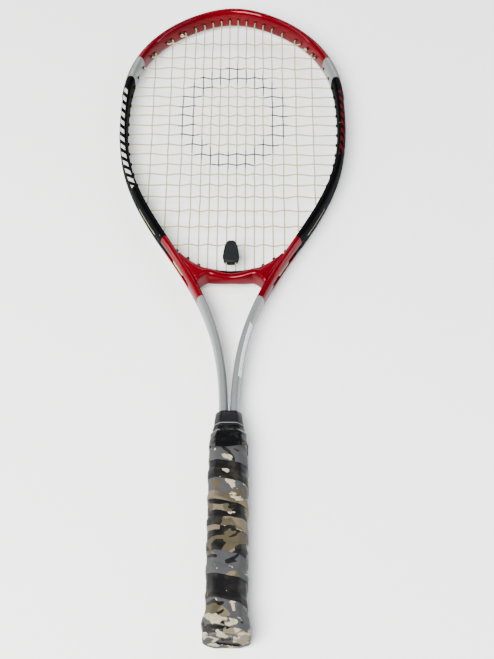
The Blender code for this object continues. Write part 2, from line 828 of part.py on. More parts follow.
def rounded_box_ring(half_x, y0, y1, z):
    """A rounded rectangle with three points at each corner."""
    radius = min(half_x * 0.75, 3.4)
    ring = []
    corners = ((half_x - radius, y1 - radius, 0), (radius - half_x, y1 - radius, 90),
               (radius - half_x, y0 + radius, 180), (half_x - radius, y0 + radius, 270))
    for x, y, start in corners:
        for turn in (0, 45, 90):
            angle = math.radians(start + turn)
            ring.append((x + radius * math.cos(angle), y + radius * math.sin(angle), z))
    return ring


def vibration_dampener(material):
    rings = [rounded_box_ring(*level) for level in DAMPENER_LEVELS]
    return loft("vibration_dampener", rings, material)


def shaft_label(material):
    start = find_station(LABEL_SPAN[1], 1, lambda s: 0.0, 400, HALF_LENGTH)
    end = find_station(LABEL_SPAN[0], 1, lambda s: 0.0, 400, HALF_LENGTH)
    rings = []
    for s in stations(start, end):
        a, b = width_at(s), height_at(s)
        low, high = np.array((0.8 * a, 0.68 * b)), np.array((0.05 * a, b))
        face = (low - high) / np.linalg.norm(low - high)
        square = np.array((-face[1], face[0]))
        first, last = high + 0.4 * face, low - 0.6 * face
        corners = [first + square * GAP, last + square * GAP,
                   last + square * (GAP + LABEL_THICK), first + square * (GAP + LABEL_THICK)]
        rings.append(section_ring(s, [tuple(map(float, p)) for p in corners]))
    return loft("shaft_label", rings, material)


# ---------------------------------------------------------------- assembly

def build():
    clear_scene()
    paint = finish("frame_paint", RED, 0.25, 0.6)
    yoke_paint = finish("yoke_paint", RED, 0.28, 0.4)
    black = finish("black_nylon", BLACK, 0.5)
    clear = finish("bumper_plastic", (0.25, 0.25, 0.26), 0.3)
    gut = finish("string_nylon", (0.72, 0.69, 0.50), 0.35)
    rubber = finish("black_rubber", (0.02, 0.022, 0.025), 0.6)
    foam = finish("pallet_foam", (0.55, 0.5, 0.4), 0.8)
    cap_plastic = finish("cap_plastic", (0.03, 0.03, 0.03), 0.45)
    steel = finish("staple_steel", (0.6, 0.6, 0.6), 0.35, 1.0)
    leather = finish("base_grip_skin", (0.03, 0.03, 0.03), 0.7)
    camouflage = finish("overgrip_print", (0.32, 0.3, 0.26), 0.65)
    tape = finish("tape_vinyl", (0.015, 0.015, 0.017), 0.3)
    paper = finish("label_paper", (0.85, 0.85, 0.85), 0.5)

    top, low = main_holes()
    right_crosses = [cross_hole(j) for j in range(CROSS_COUNT)]
    crosses = [(with_side(hole, -1), hole) for hole in right_crosses]
    ties = (tie_hole(top[2], TIE_SHARES[0], top[1]),
            tie_hole(top[15], TIE_SHARES[1], crosses[0][1]))

    frame = frame_tube(paint)
    yoke = throat_bridge(yoke_paint)
    tube_holes = top + list(ties) + [hole for pair in crosses for hole in pair]
    tube_holes += [hole for hole in low if hole["s"] is not None]
    drill = prisms("tube_string_holes", [through(hole, DRILL_EXTRA) for hole in tube_holes],
                   HOLE_RADIUS)
    combine(frame, drill, 'DIFFERENCE')
    yoke_drill = prisms("yoke_string_holes",
                        [through(hole, DRILL_EXTRA + 0.5) for hole in low[2:14]], HOLE_RADIUS)
    combine(yoke, yoke_drill, 'DIFFERENCE')
    pairs = [(low[i]["exit"], low[i + 1]["exit"]) for i in (4, 6, 8, 10)]
    slots = prisms("yoke_loop_slots", [stretched(*pair) for pair in pairs], LOOP_SLOT_RADIUS)
    combine(yoke, slots, 'DIFFERENCE')

    head_end = (top[-1]["s"] + crosses[1][1]["s"]) / 2 - GAP / 2
    side_start = head_end + GAP
    side_end = crosses[-1][1]["s"] + 5
    grommet_strip("head_grommet_strip", -head_end, head_end,
                  top + list(ties) + list(crosses[0]), black)
    right_holes = [pair[1] for pair in crosses[1:]] + low[-2:]
    left_holes = [pair[0] for pair in crosses[1:]] + low[:2]
    grommet_strip("right_grommet_strip", side_start, side_end, right_holes, black)
    grommet_strip("left_grommet_strip", -side_end, -side_start, left_holes, black)
    throat_strip(low[6:10], black)
    for number, i in enumerate((2, 3, 4, 11, 12, 13), start=1):
        throat_grommet("throat_grommet_%d" % number, low[i], black)
    bumper_guard(BUMPER_REACH, clear)

    main_string(top, low, ties, gut)
    cross_string(crosses, top, low, gut)
    vibration_dampener(rubber)

    front = handle_pallet("front_pallet", 1, foam)
    back = handle_pallet("back_pallet", -1, foam)
    cap = butt_cap(cap_plastic)
    staple_slots = staple_cutter()
    for piece in (front, back, cap):
        combine(piece, staple_slots, 'DIFFERENCE')
    butt_staple("front_staple", 1, steel)
    butt_staple("back_staple", -1, steel)
    base_grip(leather)
    overgrip(camouflage)
    finishing_tape(tape)
    collar(rubber)
    shaft_label(paper)


def stretched(start, end):
    """A span made a little longer at both ends."""
    first, last = Vector(start), Vector(end)
    aim = (last - first).normalized()
    return tuple(first - aim * 1.2), tuple(last + aim * 1.2)


build()
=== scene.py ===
"""Squash racket: the finished surfaces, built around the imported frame.

Lengths are in millimetres, measured from the string plane; MM turns them into metres.
"""
import math

import bmesh
import bpy
import numpy as np
from mathutils import Matrix, Vector


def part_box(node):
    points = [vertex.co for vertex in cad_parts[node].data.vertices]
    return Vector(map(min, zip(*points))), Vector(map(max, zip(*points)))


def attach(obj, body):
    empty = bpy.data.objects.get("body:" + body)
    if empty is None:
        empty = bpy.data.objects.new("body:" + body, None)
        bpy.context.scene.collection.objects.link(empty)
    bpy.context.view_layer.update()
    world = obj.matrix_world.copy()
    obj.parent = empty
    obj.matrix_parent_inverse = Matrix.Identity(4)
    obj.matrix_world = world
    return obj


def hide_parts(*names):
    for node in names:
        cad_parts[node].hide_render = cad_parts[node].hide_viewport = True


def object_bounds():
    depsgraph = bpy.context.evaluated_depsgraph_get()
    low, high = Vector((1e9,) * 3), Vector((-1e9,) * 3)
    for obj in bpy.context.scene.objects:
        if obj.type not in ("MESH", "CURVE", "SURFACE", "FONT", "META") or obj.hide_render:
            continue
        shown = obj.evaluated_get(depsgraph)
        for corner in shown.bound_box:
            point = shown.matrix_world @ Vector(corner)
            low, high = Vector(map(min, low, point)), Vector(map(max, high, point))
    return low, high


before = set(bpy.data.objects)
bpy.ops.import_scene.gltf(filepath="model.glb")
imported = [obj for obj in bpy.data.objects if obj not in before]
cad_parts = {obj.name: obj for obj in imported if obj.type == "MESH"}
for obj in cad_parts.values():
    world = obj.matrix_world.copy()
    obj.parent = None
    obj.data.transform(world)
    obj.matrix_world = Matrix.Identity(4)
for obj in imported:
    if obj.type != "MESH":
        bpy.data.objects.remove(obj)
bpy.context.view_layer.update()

MM = 0.001
STRING_PLANE = (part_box("main_string")[0].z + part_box("main_string")[1].z) / 2
GAP = 0.3
SHARP = math.radians(38)
SEED = 11

# Frame tube: half of its centre line, from the tip of the head to the handle.
HALF_OUTLINE = [(0, 336.5), (34, 327.5), (81.5, 286.5), (99, 242.5), (103.3, 198.5),
                (96.7, 124.5), (67.6, 54.5), (32.4, -10.5), (12.3, -67.5), (4.6, -145)]
TUBE_END = -300.0
HALF_WIDTH = ([-100, 20, 60, 300, 330], [3.8, 3.9, 4.1, 4.2, 4.5])
HALF_HEIGHT = ([-100, -40, 20, 60], [8.3, 8.6, 9.6, 10.5])
GROOVE_DEPTH = ([-12, 2], [0.0, 3.0])
GROOVE_HALF = 3.0
SQUARENESS = 2.5               # exponent of the tube's rounded section
TUBE_STEP = 2.4

# Paint, by distance along the tube from the tip of the head.
SILVER_BAND = (120.5, 148.0)
BLACK_END = 358.0
SHAFT_START = 432.0
DASHES = ((-292.0, -164.0), (166.0, 250.0))     # white ones on the left, dull red on the right
DASH_PITCH = 10.5
DASH_SLANT = 26.0
DASH_ROW = (0.36, 0.61)

# Throat yoke.
ARC_CENTRE_Y = 66.3
ARC_RADIUS = 62.3
YOKE_DEPTH = 8.0
YOKE_CORNER = math.radians(15.5)
YOKE_JOIN = math.radians(22.0)
YOKE_TIP = math.radians(46.0)
YOKE_HALF_HEIGHT = 5.6
YOKE_SIDE_RISE = 3.4
YOKE_SQUARENESS = (2.5, 3.2)
YOKE_SINK = 2.5                # how far its arms reach into the tubes

# Strings.
STRING_RADIUS = 0.6
MAINS_PER_SIDE = 8
CROSS_COUNT = 19
MAIN_PITCH = 8.3
MAIN_SPREAD = 14.4
CROSS_PITCH = 12.6
CROSS_MIDDLE = 173.0
TIP_SPREAD = 10.4
LOW_SPREAD = 21.8
LOOP_HEIGHT = 1.6
LOOP_DEPTH = 1.5
LOOP_SINK = 2.5                # how deep in the yoke its loops lie
BEND_REACH = 1.2
MAIN_WAVE = 0.42
CROSS_WAVE = 0.82
DRIFT = 0.42                   # how far a played string has slid sideways
RING_CENTRE = (0.0, 196.0)     # printed sweet-spot ring
RING_SIZE = (46.0, 58.0)
RING_BAND = 8.0

# Grommets.
BARREL_RADIUS = 1.5
BORE_RADIUS = 1.0
BARREL_PROUD = 1.0
THROAT_PROUD = {6: 4.0, 5: 5.5, 4: 5.5}
THROAT_TILT = {6: 12.0, 5: 12.0, 4: -14.0}
STRIP_THICK = 0.6
STRIP_HALF = 2.4
STRIP_WALL = (2.3, 2.75)
THROAT_STRIP = (0.9, 4.6)
BUMPER_REACH = 170.0
BUMPER_THICK = 1.9
TIE_SHARES = (0.3, 0.5)

# Handle.
PALLET_FOOT = -338.0
SIZE_PLACES = [-208, -188, -173, -158]
HALF_X = [13.8, 13.2, 12.0, 10.4]
HALF_Z = [11.8, 11.5, 10.9, 10.2]
FLARE = ([-338, -332, -327, -321], [2.3, 2.3, 1.4, 0.0])
BEVEL_SHARE = 0.45
CORNER_POWER = 24.0            # how tightly the handle's octagon is rounded
COLLAR_TOP = -144.5
COLLAR_FOOT = -160.4
GRIP_TOP = -160.7
GRIP_FOOT = -320.0
BUTT_END = -343.0
BASE_GRIP_OUT = 1.4
CHANNEL_HALF = 8.9

# Overgrip: where its lower edge lies on the left side, turn by turn from the top.
LOWER_EDGES = [-157, -172, -191, -207, -226, -249, -271, -291, -310, -334, -354, -375]
WRAP_WIDTH = 27.0
WRAP_THICK = 0.55
WRAP_BASE = 1.45
WRAP_TOP = -166.0
WRAP_TURNS = 10.6
WRAP_FOLD = 12.0               # how far it turns in over the butt
TURN_LENGTH = 90.0
TAPE_FOOT = -177.0

TAPE_THICK = 0.45
TAPE_STEP = 1.15               # it rises this much over the wrap's first turn

LABEL_SPAN = (-109.0, -53.7)
RULE_PITCH = 3.4
RULE_GROUP = 31.0


# ---------------------------------------------------------------- centre line and sections

def spline(points, start, end, samples=1400):
    """Clamped cubic spline through the points, sampled evenly in chord length."""
    knots = np.array(points, float)
    chord = np.concatenate([[0], np.cumsum(np.hypot(*np.diff(knots, axis=0).T))])
    span = np.diff(chord)
    count = len(chord)
    matrix = np.eye(count)
    target = np.zeros((count, 2))
    target[0] = start
    target[-1] = end
    for i in range(1, count - 1):
        low, high = span[i - 1], span[i]
        matrix[i, i - 1:i + 2] = (high, 2 * (low + high), low)
        rise = (knots[i] - knots[i - 1]) / low
        fall = (knots[i + 1] - knots[i]) / high
        target[i] = 3 * (high * rise + low * fall)
    slopes = np.linalg.solve(matrix, target)
    at = np.linspace(0, chord[-1], samples)
    k = np.clip(np.searchsorted(chord, at, side='right') - 1, 0, count - 2)
    width = span[k][:, None]
    t = ((at - chord[k]) / span[k])[:, None]
    return ((2 * t**3 - 3 * t**2 + 1) * knots[k] + (t**3 - 2 * t**2 + t) * width * slopes[k]
            + (3 * t**2 - 2 * t**3) * knots[k + 1] + (t**3 - t**2) * width * slopes[k + 1])


CURVE = np.vstack([spline(HALF_OUTLINE, (1, 0), (0, -1)), (HALF_OUTLINE[-1][0], TUBE_END)])
REACH = np.concatenate([[0], np.cumsum(np.hypot(*np.diff(CURVE, axis=0).T))])
SLOPE = np.gradient(CURVE, REACH, axis=0)
HALF_LENGTH = float(REACH[-1])


def centre(s):
    """Centre line at arc length s from the tip; negative s is the left half."""
    x = float(np.interp(abs(s), REACH, CURVE[:, 0]))
    y = float(np.interp(abs(s), REACH, CURVE[:, 1]))
    return (math.copysign(x, s) if s else 0.0, y)


def outward(s):
    dx = float(np.interp(abs(s), REACH, SLOPE[:, 0]))
    dy = float(np.interp(abs(s), REACH, SLOPE[:, 1]))
    length = math.hypot(dx, dy)
    return (-dy / length * (1 if s >= 0 else -1), dx / length)


def width_at(s):
    return float(np.interp(centre(s)[1], *HALF_WIDTH))


def height_at(s):
    return float(np.interp(centre(s)[1], *HALF_HEIGHT))


def groove_at(s):
    return float(np.interp(centre(s)[1], *GROOVE_DEPTH))


def at_tube(s, out, z=0.0):
    x, y = centre(s)
    nx, ny = outward(s)
    return (x + nx * out, y + ny * out, z)


def find_station(value, axis, depth, low, high):
    """Where along the tube the point at depth outward has the coordinate value."""
    places = np.linspace(low, high, 800)
    found = [at_tube(s, depth(s))[axis] - value for s in places]
    for a, b, fa, fb in zip(places, places[1:], found, found[1:]):
        if fa == 0 or fa * fb < 0:
            return float(a + (b - a) * fa / (fa - fb))
    raise ValueError("no crossing for %s" % value)


def mirrored(upper):
    """A section's lower half added to its upper half, whose ends lie at height 0."""
    return upper + [(out, -z) for out, z in reversed(upper[1:-1])]


def rounded(a, b, share, power=SQUARENESS):
    """A point of the rounded section's upper half; share runs from outer 0 to inner 1."""
    turn = math.pi * share
    c, s = math.cos(turn), math.sin(turn)
    return (a * math.copysign(abs(c)**(2 / power), c), b * abs(s)**(2 / power))


def side_at(a, b, z):
    return a * (1 - (z / b)**SQUARENESS)**(1 / SQUARENESS)


def tube_section(s):
    a, b, g = width_at(s), height_at(s), groove_at(s)
    depth = g / GROOVE_DEPTH[1][1]
    lip = 3.5
    start = math.asin((lip / b)**(SQUARENESS / 2)) / math.pi
    walls = [(a - g, 0.0), (a - g, 2.6), (a - g + 0.3 * depth, GROOVE_HALF),
             (side_at(a, b, lip) - 0.45 * depth, GROOVE_HALF + 0.1)]
    upper = [(depth * out + (1 - depth) * side_at(a, b, z), z) for out, z in walls]
    upper += [rounded(a, b, start + (1 - start) * k / 15) for k in range(16)]
    upper[-1] = (-a, 0.0)
    return mirrored(upper)


# ---------------------------------------------------------------- mesh making

def place(point):
    return (point[0] * MM, point[1] * MM, point[2] * MM + STRING_PLANE)


def linked(name, data):
    """A new object in the scene that holds the data."""
    obj = bpy.data.objects.new(name, data)
    bpy.context.collection.objects.link(obj)
    return obj


def face_outward(mesh):
    bm = bmesh.new()
    bm.from_mesh(mesh)
    bmesh.ops.recalc_face_normals(bm, faces=bm.faces)
    bm.to_mesh(mesh)
    bm.free()


def make_piece(name, verts, faces, material, sharp=SHARP):
    mesh = bpy.data.meshes.new(name)
    mesh.from_pydata([place(v) for v in verts], [], faces)
    face_outward(mesh)
    mesh.shade_smooth()
    mesh.set_sharp_from_angle(angle=sharp)
    if material:
        mesh.materials.append(material)
    return linked(name, mesh)


def band_faces(rings, count, closed=False):
    """Quads between rings of count points; closed joins the last ring to the first."""
    faces = []
    for r in range(rings if closed else rings - 1):
        a, b = r * count, ((r + 1) % rings) * count
        for i in range(count):
            j = (i + 1) % count
            faces.append((a + i, a + j, b + j, b + i))
    return faces


def loft(name, rings, material, closed=False):
    """A skin over the rings: capped at both ends, or closed into a loop."""
    count = len(rings[0])
    faces = band_faces(len(rings), count, closed)
    if not closed:
        last = (len(rings) - 1) * count
        faces.append(tuple(range(count)))
        faces.append(tuple(range(last, last + count)))
    return make_piece(name, [p for ring in rings for p in ring], faces, material)


def turned(name, outer, inner, shape, material):
    """A sleeve whose outer and inner profiles join at both ends; shape makes each ring."""
    rings = [shape(*row) for row in outer] + [shape(*row) for row in reversed(inner)]
    return loft(name, rings, material, closed=True)


def add_attribute(obj, name, values):
    obj.data.attributes.new(name, 'FLOAT', 'POINT').data.foreach_set("value", list(values))


def section_ring(s, section):
    return [at_tube(s, out, z) for out, z in section]


def spaced(start, end, step):
    return [float(s) for s in np.linspace(start, end, max(2, int(abs(end - start) / step) + 1))]


# ---------------------------------------------------------------- shader expressions

class Num:
    """A number socket; arithmetic on it adds Math nodes."""

    def __init__(self, look, socket):
        self.look = look
        self.socket = socket

    def __add__(self, other):
        return self.look.maths('ADD', self, other)

    def __sub__(self, other):
        return self.look.maths('SUBTRACT', self, other)

    def __rsub__(self, other):
        return self.look.maths('SUBTRACT', other, self)

    def __mul__(self, other):
        return self.look.maths('MULTIPLY', self, other)

    def __truediv__(self, other):
        return self.look.maths('DIVIDE', self, other)

    def __gt__(self, other):
        return self.look.maths('GREATER_THAN', self, other)

    def __lt__(self, other):
        return self.look.maths('LESS_THAN', self, other)

    __radd__ = __add__
    __rmul__ = __mul__


class Look:
    """A Principled material; constants go straight on its sockets."""

    def __init__(self, name, **constants):
        self.material = bpy.data.materials.new(name)
        self.material.use_nodes = True
        self.nodes = self.material.node_tree.nodes
        self.links = self.material.node_tree.links
        self.shader = self.nodes["Principled BSDF"]
        for label, value in constants.items():
            self.put(self.shader.inputs[label.replace("_", " ").title().replace("Ior", "IOR")], value)

    def put(self, socket, value):
        if isinstance(value, Num):
            self.links.new(value.socket, socket)
        elif isinstance(value, tuple) and len(value) == 3 and socket.type == 'RGBA':
            socket.default_value = (*value, 1.0)
        else:
            socket.default_value = value

    def node(self, kind, settings, values, out=0):
        """Any node: its settings first, then its sockets' values or links."""
        made = self.nodes.new(kind)
        for label, value in settings.items():
            if label == "stops":
                self.set_stops(made, value)
            else:
                setattr(made, label, value)
        for label, value in values.items():
            self.put(made.inputs[label], value)
        return Num(self, made.outputs[out])

    def set_stops(self, made, stops):
        ramp = made.color_ramp
        while len(ramp.elements) < len(stops):
            ramp.elements.new(0.5)
        for element, (at, colour) in zip(ramp.elements, stops):
            element.position = at
            element.color = (*colour, 1.0)

    def maths(self, operation, a, b=0.0):
        return self.node('ShaderNodeMath', {"operation": operation}, {0: a, 1: b})

    def attribute(self, name):
        return self.node('ShaderNodeAttribute', {"attribute_name": name}, {}, out=2)

    def spot(self):
        """Object coordinates."""
        return self.node('ShaderNodeTexCoord', {}, {}, out=3)

    def axis(self, vector, which):
        return self.node('ShaderNodeSeparateXYZ', {}, {0: vector}, out=which)

    def noise(self, where, scale, detail=2.0, warp=0.0):
        return self.node('ShaderNodeTexNoise', {}, {"Vector": where, "Scale": scale,
                         "Detail": detail, "Distortion": warp})

    def cells(self, where, scale, out=0):
        return self.node('ShaderNodeTexVoronoi', {}, {"Vector": where, "Scale": scale}, out=out)

    def mix(self, share, first, second):
        return self.node('ShaderNodeMix', {"data_type": 'RGBA'}, {0: share, 6: first, 7: second}, out=2)

    def stretch(self, where, scale):
        return self.node('ShaderNodeMapping', {}, {"Vector": where, "Scale": scale})

    def bump(self, height, strength, depth):
        normal = self.node('ShaderNodeBump', {}, {"Height": height, "Strength": strength,
                           "Distance": depth})
        self.put(self.shader.inputs["Normal"], normal)

    def colour(self, value):
        self.put(self.shader.inputs["Base Color"], value)

    def rough(self, value):
        self.put(self.shader.inputs["Roughness"], value)

    def metal(self, value):
        self.put(self.shader.inputs["Metallic"], value)


def soft_step(value, low, high):
    """0 below low and 1 above high."""
    look = value.look
    return look.node('ShaderNodeMapRange', {"interpolation_type": 'SMOOTHSTEP'},
                     {"Value": value, "From Min": low, "From Max": high})


RED = (0.105, 0.0004, 0.004)
DEEP_RED = (0.060, 0.0002, 0.003)
SILVER = (0.20, 0.215, 0.215)
DULL_SILVER = (0.15, 0.165, 0.16)
BLACK = (0.0015, 0.0015, 0.002)
PAINT_METAL = 0.25


def red_paint(look, where):
    """Metallic lacquer: fine bright flakes over a slow drift between two reds."""
    flakes = look.cells(where, 2600.0, out=1)
    flake = look.axis(flakes, 0)
    drift = look.noise(where, 22.0, 3.0)
    base = look.mix(soft_step(drift, 0.3, 0.7), RED, DEEP_RED)
    return look.mix(flake * 0.2, base, (0.22, 0.003, 0.012))


def scuffs(look, where):
    """Fine scratches, and small chips where the noise peaks."""
    lines = look.noise(look.stretch(where, (90.0, 90.0, 900.0)), 6.0, 4.0, 0.6)
    chips = look.noise(where, 210.0, 5.0)
    return soft_step(lines, 0.66, 0.74), soft_step(chips, 0.72, 0.75)


def frame_paint():
    look = Look("frame_paint", coat_roughness=0.05, specular_ior_level=0.0)
    where = look.spot()
    along = look.attribute("along")
    round_at = look.attribute("round")
    reach = look.maths('ABSOLUTE', along)
    silver = (reach > SILVER_BAND[0]) * (reach < SILVER_BAND[1]) + (reach > SHAFT_START)
    black = (reach > SILVER_BAND[1]) * (reach < BLACK_END)
    brushed = look.noise(look.stretch(where, (1.0, 1.0, 8.0)), 260.0, 3.0)
    colour = look.mix(silver, red_paint(look, where), look.mix(brushed, SILVER, DULL_SILVER))
    colour = look.mix(black, colour, BLACK)
    colour, dashes = add_dashes(look, colour, along, round_at)
    lines, chips = scuffs(look, where)
    colour = look.mix(chips * 0.6, colour, (0.26, 0.25, 0.23))
    look.colour(colour)
    look.metal((PAINT_METAL + silver * 0.15) * (1 - black) * (1 - dashes) * (1 - chips))
    look.put(look.shader.inputs["Coat Weight"], 0.25 - black * 0.2)
    look.rough(0.24 + silver * 0.08 - black * 0.06 + lines * 0.16 + chips * 0.3)
    grain = look.noise(where, 420.0, 3.0)
    look.bump(grain + chips * -2.0 + silver * brushed * 0.3, 0.12, 0.0002)
    return look.material


def add_dashes(look, colour, along, round_at):
    """Plain slanted dashes on the black sides, worn thin in places."""
    slant = (along + round_at * DASH_SLANT) / DASH_PITCH
    phase = look.maths('FRACT', slant)
    row = (round_at > DASH_ROW[0]) * (round_at < DASH_ROW[1]) * (phase < 0.5)
    left = (along > DASHES[0][0]) * (along < DASHES[0][1]) * row
    right = (along > DASHES[1][0]) * (along < DASHES[1][1]) * row
    worn = soft_step(look.noise(look.spot(), 320.0, 4.0), 0.30, 0.38)
    colour = look.mix(left * worn, colour, (0.42, 0.42, 0.42))
    colour = look.mix(right * worn * 0.6, colour, (0.09, 0.004, 0.007))
    return colour, (left + right) * worn


def yoke_paint():
    look = Look("yoke_paint", coat_weight=0.25, coat_roughness=0.05, metallic=PAINT_METAL,
                specular_ior_level=0.0)
    where = look.spot()
    lines, chips = scuffs(look, where)
    look.colour(look.mix(chips * 0.5, red_paint(look, where), (0.24, 0.14, 0.13)))
    look.rough(0.26 + lines * 0.15 + chips * 0.3)
    look.bump(look.noise(where, 380.0, 3.0), 0.14, 0.0002)
    return look.material


def string_nylon():
    look = Look("string_nylon", coat_weight=0.25, coat_roughness=0.25, specular_ior_level=0.5)
    where = look.spot()
    x, y, z = (look.axis(where, k) for k in range(3))
    dx = (x - RING_CENTRE[0] * MM) / (RING_SIZE[0] * MM)
    dy = (y - RING_CENTRE[1] * MM) / (RING_SIZE[1] * MM)
    size = look.maths('SQRT', dx * dx + dy * dy)
    ragged = look.noise(where, 330.0, 2.0) * 0.05
    off = look.maths('ABSOLUTE', size + ragged - 1.0)
    ring = (off < RING_BAND / RING_SIZE[0]) * (z > STRING_PLANE - 1.2 * MM)
    worn = soft_step(look.noise(where, 700.0, 3.0), 0.22, 0.30)
    fibre = look.noise(where, 900.0, 4.0)
    cream = look.mix(fibre, (0.25, 0.24, 0.095), (0.35, 0.34, 0.16))
    dirt = soft_step(look.noise(where, 60.0, 3.0), 0.5, 0.75) * 0.45
    cream = look.mix(dirt, cream, (0.17, 0.155, 0.08))
    look.colour(look.mix(ring * worn, cream, (0.0015, 0.0015, 0.002)))
    look.rough(0.42 + fibre * 0.12 - ring * 0.1)
    look.bump(fibre, 0.25, 0.0001)
    return look.material


def moulded(name, colour, rough, grain=600.0, strength=0.2, fade=0.5):
    """Moulded plastic or rubber: fine grain, lighter where it is rubbed."""
    look = Look(name, specular_ior_level=0.15)
    where = look.spot()
    fine = look.noise(where, grain, 3.0)
    rubbed = soft_step(look.noise(where, 75.0, 5.0), 0.52, 0.72)
    lighter = tuple(c + (0.35 - c) * 0.25 * fade + 0.01 for c in colour)
    look.colour(look.mix(rubbed * fade, colour, lighter))
    look.rough(rough + fine * 0.14 - rubbed * 0.06)
    look.bump(fine, strength, 0.00015)
    return look


def collar_rubber():
    look = moulded("collar_rubber", (0.003, 0.0035, 0.005), 0.34, 900.0, 0.12, 0.1)
    y = look.axis(look.spot(), 1)
    line = (y > (COLLAR_FOOT + 2.4) * MM) * (y < (COLLAR_FOOT + 3.0) * MM)
    look.colour(look.mix(line * 0.7, (0.003, 0.0035, 0.005), (0.24, 0.24, 0.23)))
    return look.material


def bumper_plastic():
    look = Look("bumper_plastic", transmission_weight=0.35, specular_ior_level=0.5, ior=1.46)
    where = look.spot()
    scrape = soft_step(look.noise(look.stretch(where, (60.0, 60.0, 600.0)), 5.0, 5.0), 0.52, 0.68)
    haze = look.noise(where, 130.0, 4.0)
    look.colour(look.mix(scrape * 0.7, look.mix(haze, (0.02, 0.021, 0.023), (0.06, 0.062, 0.066)),
                         (0.20, 0.205, 0.21)))
    look.rough(0.16 + scrape * 0.35 + haze * 0.1)
    look.bump(scrape + haze * 0.3, 0.3, 0.0002)
    return look.material


def overgrip_print():
    """Mottled earth colours printed on a stretch wrap, with cream flakes where they wore off."""
    look = Look("overgrip_print", specular_ior_level=0.15)
    flat = look.node('ShaderNodeUVMap', {"uv_map": "wrap"}, {})
    turn = look.attribute("turn")
    black, slate, flaked = wrap_shares(look, turn)
    blobs = look.noise(flat, 46.0, 1.0, 1.4)
    fields = look.noise(look.stretch(flat, (1.0, 1.3, 1.0)), 33.0, 1.0, 0.8)
    lights = look.noise(flat, 38.0, 2.0, 0.5)
    olive = look.mix(soft_step(lights, 0.50, 0.54), (0.042, 0.034, 0.020), (0.095, 0.076, 0.047))
    slate_mask = fields < 0.33 + slate * 0.34
    black_mask = blobs < 0.30 + black * 0.42
    weave = look.noise(look.stretch(flat, (1.0, 0.25, 1.0)), 2400.0, 2.0)
    colour = look.mix(slate_mask, olive, (0.033, 0.034, 0.037))
    colour = look.mix(black_mask, colour, (0.0015, 0.0015, 0.002))
    grime = soft_step(look.noise(flat, 120.0, 5.0), 0.42, 0.75)
    colour = look.mix(grime * 0.35, colour, look.mix(0.5, colour, (0.075, 0.065, 0.045)))
    chips = look.noise(flat, 92.0, 3.0, 0.4)
    crumbs = look.noise(flat, 420.0, 3.0)
    flake_mask = soft_step(chips + crumbs * 0.10 + flaked * 0.2, 0.765, 0.78)
    colour = look.mix(flake_mask, colour, look.mix(crumbs, (0.16, 0.135, 0.08), (0.38, 0.34, 0.24)))
    look.colour(colour)
    look.rough(0.46 + weave * 0.16 + flake_mask * 0.25 - black_mask * 0.1)
    creases = look.noise(look.stretch(flat, (1.0, 2.5, 1.0)), 85.0, 4.0, 0.7)
    look.bump(creases * 1.2 + weave * 0.25 - flake_mask * 0.5, 0.42, 0.0004)
    return look.material


def wrap_shares(look, turn):
    """How much black, slate and flaking each stretch of the wrap carries."""
    rows = [(0.0, 0.72, 0.5, 0.1), (1.0, 0.60, 0.2, 0.3), (1.7, 0.45, 0.5, 0.3),
            (2.0, 0.05, 0.95, 0.6), (2.6, 0.15, 0.9, 0.4), (2.95, 1.0, 0.5, 0.30),
            (3.6, 1.0, 0.5, 0.35), (3.95, 0.08, 0.95, 0.4), (4.2, 0.1, 0.75, 0.5),
            (4.45, 0.1, 0.05, 0.8), (4.95, 0.62, 0.0, 0.1), (5.5, 0.5, 0.0, 0.45),
            (5.95, 0.62, 0.0, 0.1), (6.5, 0.6, 0.1, 0.5), (6.95, 0.2, 0.1, 0.2),
            (7.2, 0.15, 0.9, 0.3), (7.6, 0.3, 0.9, 0.3), (7.92, 1.0, 0.5, 0.25),
            (8.6, 1.0, 0.5, 0.3), (8.95, 0.25, 0.8, 0.75), (9.4, 0.25, 0.5, 0.8),
            (9.9, 0.45, 0.05, 1.0), (10.6, 0.5, 0.05, 1.0)]
    whole = len(LOWER_EDGES) - 1
    stops = [(at / whole, (black, slate, flaked)) for at, black, slate, flaked in rows]
    shares = look.node('ShaderNodeValToRGB', {"stops": stops}, {0: turn / whole})
    return [look.axis(shares, k) for k in range(3)]


def tape_vinyl():
    look = Look("tape_vinyl", coat_weight=0.2, coat_roughness=0.12, specular_ior_level=0.15)
    where = look.spot()
    wrinkle = look.noise(look.stretch(where, (1.0, 2.2, 1.0)), 90.0, 2.0, 1.2)
    rubbed = soft_step(look.noise(where, 95.0, 5.0), 0.60, 0.72)
    look.colour(look.mix(rubbed * 0.5, (0.0015, 0.0015, 0.002), (0.012, 0.012, 0.011)))
    look.rough(0.22 + rubbed * 0.3 + wrinkle * 0.1)
    look.bump(wrinkle, 0.2, 0.0006)
    return look.material


def label_paper():
    """A blank sticker with plain grey rules."""
    look = Look("label_paper", coat_weight=0.2)
    along = look.attribute("along")
    across = look.attribute("round")
    rule = (look.maths('FRACT', along / RULE_PITCH) < 0.30) * (across > 0.25) * (across < 0.75)
    broken = look.noise(look.spot(), 520.0, 2.0) > 0.47
    part = look.maths('FRACT', along / RULE_GROUP) < 0.62
    stain = look.noise(look.spot(), 90.0, 4.0)
    paper = look.mix(stain * 0.5, (0.62, 0.63, 0.66), (0.44, 0.44, 0.46))
    look.colour(look.mix(rule * broken * part * 0.75, paper, (0.12, 0.13, 0.16)))
    look.rough(0.38 + stain * 0.2)
    look.bump(stain, 0.1, 0.0001)
    return look.material


def pallet_foam():
    look = moulded("pallet_foam", (0.34, 0.30, 0.22), 0.78, 1200.0, 0.5)
    pores = look.cells(look.spot(), 900.0)
    look.bump(pores, 0.5, 0.0004)
    return look.material


